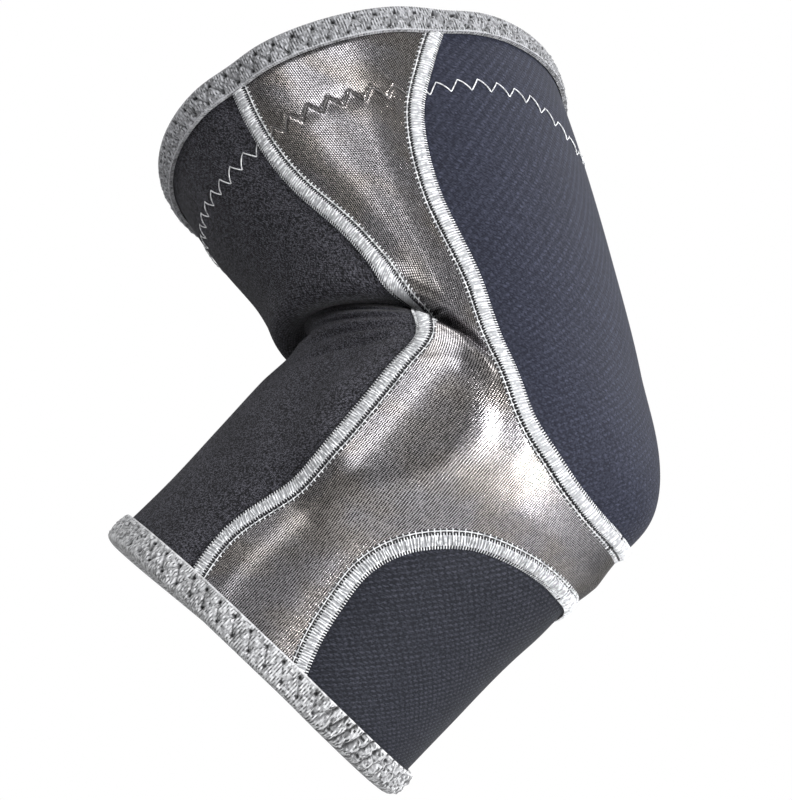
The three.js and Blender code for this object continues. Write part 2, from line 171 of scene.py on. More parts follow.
def slopes(surface, along, around):
    """How far the surface goes per unit of along, and of around"""
    high = np.minimum(along + STEP, 1)
    low = np.maximum(along - STEP, 0)
    down = (surface(high, around) - surface(low, around)) / (high - low)[..., None]
    across = (surface(along, around + STEP) - surface(along, around - STEP)) / (2 * STEP)
    return down, across


def form_normal(along, around):
    down, across = slopes(form_point, along, around)
    return unit(np.cross(down, across))


print("front rail from", np.round(FRONT_RAIL[0], 4), "to", np.round(FRONT_RAIL[-1], 4))

# %% [markdown]
# ## Creases and swellings
# The crook squeezes the cloth into one deep crease that runs out on the sides, with a soft lip
# hanging over it and a fan of small wrinkles below. The satin swells into a dome below the
# crease, which falls off fast behind, and the elbow point stands out a little. Each is a rise
# or fall along the form's normal, from a short table, so that each can be tuned alone.

# %% The crease in the crook
CREASE_ALONG = 0.387
CREASE_TURN = 0.47
CREASE_END = 0.64
CREASE_FRONT_DIP = 0.018
CREASE_SIDE_DROP = 0.095
CREASE_DEPTH = 9 * MM
CREASE_HALF_WIDTH = 4.3 * MM
LIP_RISE = 1.4 * MM
LIP_OVERHANG = 3.0 * MM  # the upper lip hangs over the crease
LIP_PLACE = 1.1  # above the crease, in its half widths
LIP_WIDTH = 0.9
CHEEK_RISE = 0.8 * MM
CHEEK_PUSH = 1.4 * MM  # the cloth below is pushed up against it
CHEEK_PLACE = 1.0
CHEEK_WIDTH = 0.8


def from_front(around):
    turned = np.abs(around) % 2
    return np.where(turned > 1, 2 - turned, turned)


def crease_along(w):
    dip = CREASE_FRONT_DIP * np.maximum(0, 1 - w / CREASE_TURN) ** 2
    past = (np.minimum(w, CREASE_END) - CREASE_TURN) / (CREASE_END - CREASE_TURN)
    return CREASE_ALONG + dip + CREASE_SIDE_DROP * np.maximum(0, past) ** 2


# %% The seams' tables
# Each row is a place: along, around.
FRONT_SEAM = [
    (0.0, 0.39), (0.1, 0.383), (0.2, 0.398), (0.3, 0.457), (0.4, 0.512), (0.45, 0.519),
    (0.53, 0.495), (0.62, 0.497), (0.74, 0.503), (0.88, 0.459), (1.0, 0.478),
]
REAR_SEAM = [
    (0.0, 0.75), (0.07, 0.69), (0.15, 0.635), (0.25, 0.612), (0.36, 0.634), (0.45, 0.643),
    (0.52, 0.69), (0.56, 0.79), (0.578, 0.89), (0.582, 1.0),
]
FOREARM_SEAM = [
    (1.0, 0.73), (0.92, 0.697), (0.86, 0.683), (0.8, 0.678), (0.75, 0.693), (0.71, 0.725),
    (0.68, 0.775), (0.665, 0.85), (0.66, 0.93), (0.66, 1.0),
]


# %% How far a place is from the nearest seam
ROUGH_LENGTH = 163 * MM  # of the sleeve along its side
ROUGH_GIRTH = 135 * MM  # from front to back, half way round
TABLE_STEPS = 241
SEAM_SAMPLES = 160


def seam_distance_table():
    alongs, arounds = np.meshgrid(*[np.linspace(0, 1, TABLE_STEPS)] * 2, indexing="ij")
    nearest = np.full_like(alongs, 1.0)
    for rows in (FRONT_SEAM, REAR_SEAM, FOREARM_SEAM):
        for along, around in through(rows, np.linspace(0, 1, SEAM_SAMPLES)):
            away = np.hypot((alongs - along) * ROUGH_LENGTH, (arounds - around) * ROUGH_GIRTH)
            nearest = np.minimum(nearest, away)
    return nearest


SEAM_TABLE = seam_distance_table()


def seam_distance(along, w):
    row, column = (np.clip(x, 0, 1) * (TABLE_STEPS - 1) for x in (along, w))
    i, j = (np.minimum(x.astype(int), TABLE_STEPS - 2) for x in (row, column))
    top = mix(SEAM_TABLE[i, j], SEAM_TABLE[i, j + 1], column - j)
    bottom = mix(SEAM_TABLE[i + 1, j], SEAM_TABLE[i + 1, j + 1], column - j)
    return mix(top, bottom, row - i)


# %% The zigzag row and the groove that it pulls
ZIGZAG_PITCH = 5.3 * MM
ZIGZAG_HEIGHT = 3.4 * MM
ZIGZAG_ALONG = [0.125, 0.133, 0.113, 0.11, 0.11, 0.103, 0.105, 0.138]
ZIGZAG_AROUND = [0.0, 0.285, 0.437, 0.532, 0.66, 0.765, 0.865, 1.0]
GROOVE_DEPTH = 0.34 * MM
GROOVE_WIDTH = 0.45 * MM
GROOVE_SWELL = 0.35 * MM
SWELL_NARROWING = 1.6  # against the row's height
SWELL_END = 0.05
SATIN_FROM = (0.385, 0.41)  # around
SATIN_TO = (0.615, 0.64)


def zigzag_along(around):
    return np.interp(from_front(around), ZIGZAG_AROUND, ZIGZAG_ALONG)


ALL_ROUND = np.linspace(0, 2, 4001)
ZIGZAG_LENGTHS = path_lengths(form_point(zigzag_along(ALL_ROUND), ALL_ROUND))
ZIGZAGS = round(ZIGZAG_LENGTHS[-1] / ZIGZAG_PITCH)
ZIGZAG_STEP = ZIGZAG_LENGTHS[-1] / ZIGZAGS


def zigzag_wave(length):
    """From minus half a height, up, at the needle's even holes, to plus half at the odd"""
    phase = (length / ZIGZAG_STEP) % 1
    return ZIGZAG_HEIGHT * (0.5 - np.abs(2 * phase - 1))


def satin_under(around):
    """1 where the row crosses the satin, 0 elsewhere"""
    return span(from_front(around), SATIN_FROM, SATIN_TO)


def zigzag_relief(along, around, per_along):
    length = np.interp(np.asarray(around) % 2, ALL_ROUND, ZIGZAG_LENGTHS)
    above = (zigzag_along(around) - along) * per_along
    groove = bell((above - zigzag_wave(length)) / GROOVE_WIDTH)
    swell = bell(above / ZIGZAG_HEIGHT * SWELL_NARROWING)
    cut = (GROOVE_DEPTH + GROOVE_SWELL) * groove * (swell > SWELL_END)
    return satin_under(around) * (GROOVE_SWELL * swell - cut)


print("zigzag row:", ZIGZAGS, "times round")

# %% Bulges and wrinkles
ELBOW_POINT = dict(rise=2.2 * MM, along=0.55, around=1.0, length=0.045, width=0.25)
# The satin's dome has a flat top and a steep rim, so it is an oval plateau.
DOME = dict(rise=4.6 * MM, along=0.6, around=0.555, length=0.142, width=0.138, flat=0.6, foot=1.38)
SEAM_DIP = 1.5 * MM  # the panels swell between their seams
SEAM_DIP_WIDTH = 6.5 * MM
# Each wrinkle starts near the seam and fans out towards the front. Spread is how fast.
WRINKLES = [
    dict(depth=1.5 * MM, below=0.03, spread=0.03, width=0.006),
    dict(depth=1.3 * MM, below=0.046, spread=0.12, width=0.007),
    dict(depth=0.9 * MM, below=0.062, spread=0.26, width=0.008),
    dict(depth=0.6 * MM, below=0.085, spread=0.42, width=0.01),
]
WRINKLE_START = 0.47  # around
WRINKLES_FROM = (0.2, 0.32)
WRINKLES_TO = (0.45, 0.5)
FOLD_FROM = (0.5, 0.56)
FOLD_TO = (0.595, 0.645)
FOLD_DEPTH = 2.4 * MM  # where the crease runs on over the satin
FOLD_RIDGE = 0.9 * MM
FOLD_WIDTH = 0.42  # in the crease's half widths


def relief(along, around):
    """How far the cloth stands off the form, and how far it is pushed along it"""
    w = from_front(around)
    down, _ = slopes(form_point, along, around)
    off = (along - crease_along(w)) * np.linalg.norm(down, axis=-1) / CREASE_HALF_WIDTH
    fade = 1 - smooth(w, CREASE_TURN, CREASE_END)
    lip = fade * bell((off + LIP_PLACE) / LIP_WIDTH)
    cheek = fade * bell((off - CHEEK_PLACE) / CHEEK_WIDTH)
    rise = -CREASE_DEPTH * fade * bell(off) + LIP_RISE * lip + CHEEK_RISE * cheek
    oval = np.hypot((along - DOME["along"]) / DOME["length"], (w - DOME["around"]) / DOME["width"])
    rise = rise + DOME["rise"] * (1 - smooth(oval, DOME["flat"], DOME["foot"]))
    rise = rise - SEAM_DIP * bell(seam_distance(along, w) / SEAM_DIP_WIDTH)
    lengthwise = bell((along - ELBOW_POINT["along"]) / ELBOW_POINT["length"])
    crosswise = bell((w - ELBOW_POINT["around"]) / ELBOW_POINT["width"])
    rise = rise + ELBOW_POINT["rise"] * lengthwise * crosswise
    fold = FOLD_DEPTH * bell(off / FOLD_WIDTH) - FOLD_RIDGE * bell((off - 1) / FOLD_WIDTH)
    rise = rise - span(w, FOLD_FROM, FOLD_TO) * fold
    rise = rise + zigzag_relief(along, around, np.linalg.norm(down, axis=-1))
    reach = span(w, WRINKLES_FROM, WRINKLES_TO)
    for k in WRINKLES:
        line = crease_along(w) + k["below"] + k["spread"] * np.maximum(0, WRINKLE_START - w)
        rise = rise - k["depth"] * reach * bell((along - line) / k["width"])
    return rise, LIP_OVERHANG * lip - CHEEK_PUSH * cheek


def cloth_point(along, around, height=0.0):
    """A point on the cloth's face, or that high above it"""
    rise, push = relief(along, around)
    down, _ = slopes(form_point, along, around)
    lift = rise + height
    point = form_point(along, around) + form_normal(along, around) * lift[..., None]
    return point + unit(down) * push[..., None]


# %% [markdown]
# ## Where the seams run
# The panels meet edge to edge along three routes, each given by a few chosen places. A point
# beside a route, so many millimetres away across the cloth, is found from the cloth's slopes,
# because the cut edges, the seams' ribbons and the rows of stitches all keep such distances.

# %% Routes and places beside them
class Route:
    """A seam's route: its stations, and places beside them"""

    def __init__(self, rows):
        self.rows = rows
        self.runs_down = rows[-1][0] > rows[0][0]
        self.shares = np.linspace(0, 1, 2001)
        stations = through(rows, self.shares)
        self.alongs = stations[:, 0]
        self.lengths = path_lengths(cloth_point(stations[:, 0], stations[:, 1]))

    def share_at(self, along):
        order = 1 if self.runs_down else -1
        return np.interp(along, self.alongs[::order], self.shares[::order])

    def share_of_length(self, length):
        return np.interp(length, self.lengths, self.shares)

    def frame(self, share):
        """The station at a share, and the unit vector across the seam, away from the front"""
        share = np.asarray(share, float)
        here = through(self.rows, share)
        ahead = through(self.rows, np.minimum(share + STEP, 1))
        behind = through(self.rows, np.maximum(share - STEP, 0))
        out = form_normal(here[..., 0], here[..., 1])
        run = form_point(ahead[..., 0], ahead[..., 1]) - form_point(behind[..., 0], behind[..., 1])
        side = unit(np.cross(out, run))
        return here, side if self.runs_down else -side

    def beside(self, share, distance):
        """The stations at a distance from the seam, positive away from the front"""
        here, side = self.frame(share)
        a, b = slopes(form_point, here[..., 0], here[..., 1])
        aa, ab, bb = ((p * q).sum(-1) for p, q in ((a, a), (a, b), (b, b)))
        ra, rb = ((side * p).sum(-1) * distance for p in (a, b))
        determinant = aa * bb - ab * ab
        along = here[..., 0] + (ra * bb - rb * ab) / determinant
        around = here[..., 1] + (rb * aa - ra * ab) / determinant
        at_hem = (here[..., 0] <= 0) | (here[..., 0] >= 1)
        along = np.where(at_hem, here[..., 0], along)
        around = np.where(here[..., 1] >= 1, 1, around)
        return np.stack([along, around], -1)


FRONT_ROUTE = Route(FRONT_SEAM)
REAR_ROUTE = Route(REAR_SEAM)
FOREARM_ROUTE = Route(FOREARM_SEAM)
for name, route in (("front", FRONT_ROUTE), ("rear", REAR_ROUTE), ("forearm", FOREARM_ROUTE)):
    print(name, "seam, one side:", round(route.lengths[-1], 4), "m")

# %% [markdown]
# ## Measures on the cloth
# The knit's pattern has to keep its real pitch all over, so each panel gets a UV map in
# metres: across, from the middle of the front, and lengthwise, from half way down.

# %% Lengths on the cloth
GIRTH_PLACES = np.linspace(0, 1, 41)


def lengthwise_table():
    alongs = np.linspace(0, 1, 201)
    points = form_point(*np.meshgrid(alongs, GIRTH_PLACES, indexing="ij"))
    return np.linalg.norm(np.diff(points, axis=0), axis=-1).sum(0)


LENGTHS = lengthwise_table()
PATTERN_CENTRE = 0.5


def cloth_uv(along, around):
    w = from_front(around)
    lengthwise = (along - PATTERN_CENTRE) * np.interp(w, GIRTH_PLACES, LENGTHS)
    depth = np.linalg.norm(through(BACK_RAIL, along) - through(FRONT_RAIL, along), axis=-1) / 2
    breadth = through(SIDE_RAIL, along)[..., 0]
    across = around * np.pi * np.sqrt((depth**2 + breadth**2) / 2)
    return across, lengthwise


print("cloth length, front and back:", round(LENGTHS[0], 3), round(LENGTHS[-1], 3))

# %% [markdown]
# ## Laying a cut piece on the form
# A panel starts as a flat grid, as the real one starts as a flat cut of cloth. Each of its
# corners is laid on the form, and the sheet is extruded to give the wall its thickness:
# the sheet that was extruded keeps the outer face, and the first one moves in to be the lining.
# A modifier would thicken it too, but in the deep crease its offset walls cross.


# %% Making a grid, and its wall
def deselect_all():
    for other in bpy.context.selected_objects:
        other.select_set(False)


def activate(piece):
    deselect_all()
    piece.select_set(True)
    bpy.context.view_layer.objects.active = piece


def lay_grid(name, points, uv, stations=None):
    """A grid primitive whose corners go to the points, row by row"""
    rows, columns = points.shape[:2]
    deselect_all()
    bpy.ops.mesh.primitive_grid_add(x_subdivisions=columns - 1, y_subdivisions=rows - 1, size=1)
    piece = bpy.context.active_object
    piece.name = name
    mesh = piece.data
    mesh.name = name
    flat = np.empty(len(mesh.vertices) * 3)
    mesh.vertices.foreach_get("co", flat)
    flat = flat.reshape(-1, 3)
    column = np.rint((flat[:, 0] + 0.5) * (columns - 1)).astype(int)
    row = np.rint((flat[:, 1] + 0.5) * (rows - 1)).astype(int)
    mesh.vertices.foreach_set("co", points[row, column].ravel())
    corners = np.empty(len(mesh.loops), int)
    mesh.loops.foreach_get("vertex_index", corners)
    layer = mesh.uv_layers.active or mesh.uv_layers.new(name="UVMap")
    layer.name = "UVMap"
    laid = np.stack(np.broadcast_arrays(*uv), -1)[row, column][corners]
    layer.data.foreach_set("uv", laid.ravel().astype(np.float32))
    if stations is not None:
        for key, values in zip(("along", "around"), stations):
            attribute = mesh.attributes.new(key, "FLOAT", "POINT")
            attribute.data.foreach_set("value", values[row, column].astype(np.float32))
    mesh.update()
    return piece


def read_attribute(mesh, key):
    values = np.empty(len(mesh.vertices), np.float32)
    mesh.attributes[key].data.foreach_get("value", values)
    return values.astype(float)


def join(pieces, name):
    deselect_all()
    for piece in pieces:
        piece.select_set(True)
    bpy.context.view_layer.objects.active = pieces[0]
    if len(pieces) > 1:
        bpy.ops.object.join()
    whole = bpy.context.active_object
    whole.name = name
    whole.data.name = name
    return whole


def edit(operator, **options):
    """One edit-mode operator on the whole active mesh"""
    bpy.ops.object.mode_set(mode="EDIT")
    bpy.ops.mesh.select_all(action="SELECT")
    operator(**options)
    bpy.ops.object.mode_set(mode="OBJECT")


SMOOTH_ANGLE = math.radians(50)
MERGE = 1e-6
SHEET_MERGE = 20 * MERGE


def report(piece):
    mesh = piece.data
    mesh.calc_loop_triangles()
    size = [round(x * 1000) for x in piece.dimensions]
    print(piece.name, len(mesh.loop_triangles), "triangles,", size, "mm")


def lay_cloth(name, blocks):
    """Join grids of stations into one sheet, and give it the wall's thickness"""
    grids = []
    for along, around in blocks:
        uv = cloth_uv(along, around)
        grids.append(lay_grid(name, cloth_point(along, around), uv, (along, around)))
    piece = join(grids, name)
    activate(piece)
    edit(bpy.ops.mesh.remove_doubles, threshold=SHEET_MERGE)
    mesh = piece.data
    first = mesh.polygons[len(mesh.polygons) // 2]
    corner = first.vertices[0]
    along, around = (read_attribute(mesh, key)[corner] for key in ("along", "around"))
    if np.dot(first.normal, form_normal(along, around)) < 0:
        edit(bpy.ops.mesh.flip_normals)
    bpy.ops.object.mode_set(mode="EDIT")
    bpy.ops.mesh.select_all(action="SELECT")
    bpy.ops.mesh.extrude_region()
    bpy.ops.object.mode_set(mode="OBJECT")
    along, around = (read_attribute(mesh, key) for key in ("along", "around"))
    chosen = np.empty(len(mesh.vertices), bool)
    mesh.vertices.foreach_get("select", chosen)
    height = np.where(chosen, 0.0, -WALL)
    mesh.vertices.foreach_set("co", cloth_point(along, around, height).ravel())
    mesh.update()
    activate(piece)
    bpy.ops.object.shade_smooth_by_angle(angle=SMOOTH_ANGLE)
    report(piece)
    return piece


# %% [markdown]
# ## The panels
# The front panel is one piece from seam to seam. The elbow panel has a side on each half of
# the sleeve, and a strip that joins them behind the elbow, so it is laid in blocks that share
# their edges. The rear and forearm panels span the back between the halves of their seams,
# and their rows sag from the seam to the middle, so that no corner is squeezed.

# %% The front panel
CUT = PIECE_GAP / 2
STRIP_TOP = 0.52
STRIP_BOTTOM = 0.7
REAR_CORNER = 0.66
FOREARM_CORNER = 0.58
FRONT_GRID = (250, 160)  # rows and columns
SIDE_GRID = (236, 84)
STRIP_GRID = (44, 60)
REAR_GRID = (170, 150)
FOREARM_GRID = (110, 120)
# Rows crowd at a place, over a width, by so many times more.
FRONT_CROWDS = ((CREASE_ALONG + 0.02, 0.06, 3.0), (0.125, 0.03, 1.0))
SIDE_CROWDS = ((CREASE_ALONG + 0.03, 0.07, 1.6), (0.112, 0.022, 2.2))
NEAR = 0.002  # along, too near to the strip's edge for a row


def spread(count, *crowds):
    """Shares from 0 to 1, closer together where a crowd (place, width, extra) asks for it"""
    dense = np.linspace(0, 1, 2001)
    weight = np.ones_like(dense)
    for place, width, extra in crowds:
        weight += extra * bell((dense - place) / width)
    total = np.concatenate([[0], np.cumsum((weight[1:] + weight[:-1]) / 2)])
    return np.interp(np.linspace(0, total[-1], count), total, dense)


def between(start, end, shares):
    """Stations from one column of stations to another, as two grids"""
    stations = mix(start[:, None, :], end[:, None, :], np.asarray(shares)[None, :, None])
    return stations[..., 0], stations[..., 1]


def mirrored(stations):
    return stations * np.array([1, -1])


front_rows = FRONT_ROUTE.share_at(spread(FRONT_GRID[0], *FRONT_CROWDS))
edge = FRONT_ROUTE.beside(front_rows, -CUT)
front_blocks = [between(mirrored(edge), edge, np.linspace(0, 1, FRONT_GRID[1]))]
front_panel = lay_cloth("front_cloth", front_blocks)

# %% The elbow panel
rows = spread(SIDE_GRID[0], *SIDE_CROWDS)
upper_rows = np.append(rows[rows < STRIP_TOP - NEAR], STRIP_TOP)
strip_rows = np.linspace(STRIP_TOP, STRIP_BOTTOM, STRIP_GRID[0])
lower_rows = np.insert(rows[rows > STRIP_BOTTOM + NEAR], 0, STRIP_BOTTOM)
rear_at_crease = REAR_ROUTE.share_at(crease_along(CREASE_END))


def rear_share(along):
    """Where a row that starts on the front seam ends on the rear seam"""
    above = mix(0, rear_at_crease, along / CREASE_ALONG)
    below = mix(rear_at_crease, REAR_CORNER, (along - CREASE_ALONG) / (STRIP_TOP - CREASE_ALONG))
    return np.where(along < CREASE_ALONG, above, below)


def from_front_seam(along):
    return FRONT_ROUTE.beside(FRONT_ROUTE.share_at(along), CUT)


def forearm_share(along):
    return mix(FOREARM_CORNER, 0, (along - STRIP_BOTTOM) / (1 - STRIP_BOTTOM))


top_edge = REAR_ROUTE.beside(np.linspace(REAR_CORNER, 1, STRIP_GRID[1]), -CUT)
bottom_edge = FOREARM_ROUTE.beside(np.linspace(FOREARM_CORNER, 1, STRIP_GRID[1]), -CUT)
down = (strip_rows - STRIP_TOP) / (STRIP_BOTTOM - STRIP_TOP)
corner_line = mix(top_edge[0], bottom_edge[0], down[:, None])
columns = np.linspace(0, 1, SIDE_GRID[1])
rear_line = REAR_ROUTE.beside(rear_share(upper_rows), -CUT)
forearm_line = FOREARM_ROUTE.beside(forearm_share(lower_rows), -CUT)
side_blocks = [
    between(from_front_seam(upper_rows), rear_line, columns),
    between(from_front_seam(strip_rows), corner_line, columns),
    between(from_front_seam(lower_rows), forearm_line, columns),
    tuple(grid.T for grid in between(top_edge, bottom_edge, down)),
]
other_side = [(along[:, ::-1], -around[:, ::-1]) for along, around in side_blocks]
elbow_panel = lay_cloth("satin_cloth", side_blocks + other_side)


# %% The rear and forearm panels
def back_blocks(route, grid):
    shares = spread(grid[0])
    start = route.beside(shares, CUT)
    first = start[0, 0]
    last = route.beside(np.array([1.0]), CUT)[0, 0]
    middle = mix(first, last, np.linspace(0, 1, len(shares)))[:, None]
    across = np.linspace(0, 1, grid[1])[None, :]
    sag = np.sin(np.pi * across)
    along = mix(start[:, :1], middle, sag)
    around = mix(start[:, 1:], 2 - start[:, 1:], across)
    return [(along, around)]


rear_blocks = back_blocks(REAR_ROUTE, REAR_GRID)
forearm_blocks = back_blocks(FOREARM_ROUTE, FOREARM_GRID)
rear_panel = lay_cloth("rear_cloth", rear_blocks)
forearm_panel = lay_cloth("forearm_cloth", forearm_blocks)

# %% [markdown]
# ## The flat seams
# A flat seam is a soft ribbon of covering threads. It is a low crowned strip here, with one
# small arch of thread at each stitch. Along both edges run the locking loops, whose holes read
# as a dotted line over the strip's edge, which is painted almost black as painted shade in the
# holes. On the satin's side a cord is sunk into the cloth between two furrows, whose shade is
# painted as two near-black strands.
# Threads are curves with a round section: one curve object carries hundreds of splines, and
# is turned into a mesh at the end.

# %% Strands of thread
SEAM_WIDTH = 3.25 * MM
SEAM_GAP = 0.25 * MM
SEAM_RISE = 0.42 * MM
SEAM_CROWN = 0.26 * MM
SEAM_HEIGHT = SEAM_RISE + SEAM_CROWN
STITCH = 0.66 * MM
THREAD = 0.16 * MM  # a covering thread's radius
HEM_WIDTH = 6.2 * MM
HEM_CLOTH = 1 * MM
HEM_COVER = 0.8  # of the hem's width, under which a seam's end is hidden


def strands(name, paths, radius, sides, thickness=None):
    """Many short threads as one mesh. Each path is an array of points."""
    curve = bpy.data.curves.new(name, "CURVE")
    curve.dimensions = "3D"
    curve.bevel_depth = radius
    curve.bevel_resolution = sides
    curve.use_fill_caps = True
    for k, path in enumerate(paths):
        spline = curve.splines.new("POLY")
        spline.points.add(len(path) - 1)
        with_weight = np.column_stack([path, np.ones(len(path))])
        spline.points.foreach_set("co", with_weight.ravel())
        if thickness is not None:
            spline.points.foreach_set("radius", np.full(len(path), thickness[k]))
    piece = bpy.data.objects.new(name, curve)
    bpy.context.collection.objects.link(piece)
    activate(piece)
    bpy.ops.object.convert(target="MESH")
    piece = bpy.context.active_object
    piece.data.name = name
    for polygon in piece.data.polygons:
        polygon.use_smooth = True
    report(piece)
    return piece


def hem_cover(route, end):
    """The share at which a seam comes out from under a hem"""
    station = through(route.rows, np.array([float(end)]))
    down, _ = slopes(form_point, station[:, 0], station[:, 1])
    cover = HEM_WIDTH * HEM_COVER / np.linalg.norm(down[0])
    return float(route.share_at(cover if station[0, 0] < 0.5 else 1 - cover))


def beside_points(route, shares, distances, heights):
    """Points on a seam, for rows of shares and columns of distances across it"""
    stations = [route.beside(shares, distance) for distance in distances]
    laid = [cloth_point(s[:, 0], s[:, 1], np.full(len(s), h)) for s, h in zip(stations, heights)]
    return np.stack(laid, 1)


# %% The ribbon's section
RIBBON_ACROSS = np.array([-1, -0.98, -0.9, -0.78, -0.66, -0.35, 0, 0.35, 0.66, 0.78, 0.9, 0.98, 1])
RIBBON_RISE = np.array([0, 0.35, 0.6, 0.66, 0.92, 0.98, 1, 0.98, 0.92, 0.66, 0.6, 0.35, 0])
RIBBON_STEP = 0.8 * MM
RIBBON_WALL = 0.2 * MM


def ribbon(route, start, end):
    """The strip under a seam's threads, from one share of the route to another"""
    count = int(np.ptp(np.interp([start, end], route.shares, route.lengths)) / RIBBON_STEP) + 2
    shares = np.linspace(start, end, count)
    heights = SEAM_GAP + SEAM_HEIGHT * RIBBON_RISE - THREAD
    top = beside_points(route, shares, RIBBON_ACROSS * SEAM_WIDTH / 2, heights)
    return shares, top


def flip_side(points):
    return points * np.array([1, -1, 1])


def make_strip(name, top, lengths):
    across = np.broadcast_to(RIBBON_ACROSS * SEAM_WIDTH / 2, top.shape[:2])
    piece = lay_grid(name, top, (across, np.broadcast_to(lengths[:, None], top.shape[:2])))
    activate(piece)
    solid = piece.modifiers.new("strip", "SOLIDIFY")
    solid.thickness = RIBBON_WALL
    solid.offset = -1
    bpy.ops.object.modifier_apply(modifier="strip")
    bpy.ops.object.shade_smooth_by_angle(angle=SMOOTH_ANGLE)
    return piece


# %% The threads over a ribbon
ARCH_ACROSS = np.array([-1.12, -1.02, -0.6, 0.0, 0.6, 1.02, 1.12]) * MM
ARCH_RISE = np.array([0.6, 0.9, 1.0, 1.04, 1.0, 0.9, 0.6])
LOOP_ACROSS = np.array([1.0, 1.35, 1.62]) * MM  # a locking loop, out past the ribbon's edge
OUTER_LOOP_ACROSS = np.array([1.0, 1.5, 1.95]) * MM  # on the side away from the satin
LOOP_HEIGHT = np.array([0.78, 0.74, 0.42]) * MM
LEAN = 0.3  # of a stitch, the most that a covering thread shifts or leans
ARCH_THICKNESS = 1.3  # in THREAD radii
LOOP_THICKNESS = 0.95
FURROW_SHADE_THICKNESS = 0.9
THINNEST, THICKEST = 0.7, 1.2  # times ARCH_THICKNESS
# On the satin's side a pale cord runs on short stitches, with a furrow at each side whose
# shade is painted as a near-black strand.
SATIN_CORD = (2.16 * MM, 0.2 * MM)  # across, height
FURROW_SHADE_PLACES = (1.84 * MM, 2.46 * MM)
FURROW_SHADE_HEIGHT = 0.05 * MM
SATIN_LOOP = np.array([1.6, 1.85, 2.15, 2.45, 2.75]) * MM
SATIN_LOOP_HEIGHT = np.array([0.1, 0.22, 0.24, 0.2, -0.02]) * MM


def satin_side(route):
    return 1 if route is FRONT_ROUTE else -1


def seam_threads(route, start, end, random):
    """Paths of the arches, the loops along both edges and the satin's cord, and how thick"""
    low, high = np.interp([start, end], route.shares, route.lengths)
    places = np.arange(low + STITCH, high - STITCH / 2, STITCH)
    even = route.share_of_length(places)
    start, lean = random.uniform(-LEAN, LEAN, (2, len(places))) * STITCH
    arches = []
    for across, rise in zip(ARCH_ACROSS, ARCH_RISE):
        share = route.share_of_length(places + start + lean * across / ARCH_ACROSS[-1])
        height = SEAM_GAP + SEAM_HEIGHT * rise
        arches.append(beside_points(route, share, [across], [height])[:, 0])
    paths = list(np.stack(arches, 1))
    thickness = list(ARCH_THICKNESS * random.uniform(THINNEST, THICKEST, len(paths)))
    for side in (-1, 1):
        loop = LOOP_ACROSS if side == satin_side(route) else OUTER_LOOP_ACROSS
        paths += list(beside_points(route, even, side * loop, LOOP_HEIGHT))
        thickness += [LOOP_THICKNESS] * len(even)
    every_other = even[::2]
    satin_loop = satin_side(route) * SATIN_LOOP
    paths += list(beside_points(route, every_other, satin_loop, SATIN_LOOP_HEIGHT))
    thickness += [LOOP_THICKNESS] * len(every_other)
    cord, height = SATIN_CORD
    paths.append(beside_points(route, every_other, [satin_side(route) * cord], [height])[:, 0])
    thickness.append(LOOP_THICKNESS)
    return paths, thickness


def furrow_shades(route, start, end):
    """Paths of near-black strands, painted shade for the furrows at both sides of the satin's cord
    """
    low, high = np.interp([start, end], route.shares, route.lengths)
    along = route.share_of_length(np.arange(low, high, 2 * STITCH))
    places = satin_side(route) * np.array(FURROW_SHADE_PLACES)
    lines = beside_points(route, along, places, [FURROW_SHADE_HEIGHT] * len(FURROW_SHADE_PLACES))
    return list(lines.transpose(1, 0, 2))


# %% Making the seams
def make_seam(name, route, start, end, halves):
    """One seam: its strip, threads and the furrows' painted shade. Halves are the sides that it is
    on.
    """
    random = np.random.default_rng(len(name))
    shares, top = ribbon(route, start, end)
    lengths = np.interp(shares, route.shares, route.lengths)
    paths, thickness = seam_threads(route, start, end, random)
    dark = furrow_shades(route, start, end)
    other_paths, other_dark = ([flip_side(p) for p in part] for part in (paths, dark))
    if halves == "both":
        top = np.concatenate([top, flip_side(top[:-1])[::-1]])
        lengths = np.concatenate([lengths, 2 * lengths[-1] - lengths[:-1][::-1]])
        paths, dark, thickness = paths + other_paths, dark + other_dark, 2 * thickness
    elif halves == "left":
        top, paths, dark = flip_side(top), other_paths, other_dark
    strip = make_strip(name + "_strip", top, lengths)
    threads = strands(name + "_threads", paths, THREAD, 0, thickness)
    return strip, threads, strands(name + "_furrows", dark, THREAD * FURROW_SHADE_THICKNESS, 0)


# Each seam of the record: the name of its pieces, its route, and the sides that it is on.
SEAMS = {
    "front_seam_right": ("front_seam_r", FRONT_ROUTE, "right"),
    "front_seam_left": ("front_seam_l", FRONT_ROUTE, "left"),
    "rear_seam": ("rear_seam_b", REAR_ROUTE, "both"),
    "forearm_seam": ("forearm_seam_b", FOREARM_ROUTE, "both"),
}
seams = {}
for node, (name, route, halves) in SEAMS.items():
    end = 1 if halves == "both" else hem_cover(route, 1)
    seams[node] = make_seam(name, route, hem_cover(route, 0), end, halves)

# %% [markdown]
# ## The bindings
# Each end is bound with a folded elastic tape, held by one zigzag of thread. The tape is
# swept round the hem as a grid of many narrow columns, so that its cross ribs, the hollows that
# the zigzag pulls and the puckers behind are real relief. At the forearm's back the tape was
# stretched more as it was sewn, and gathers into cords there.

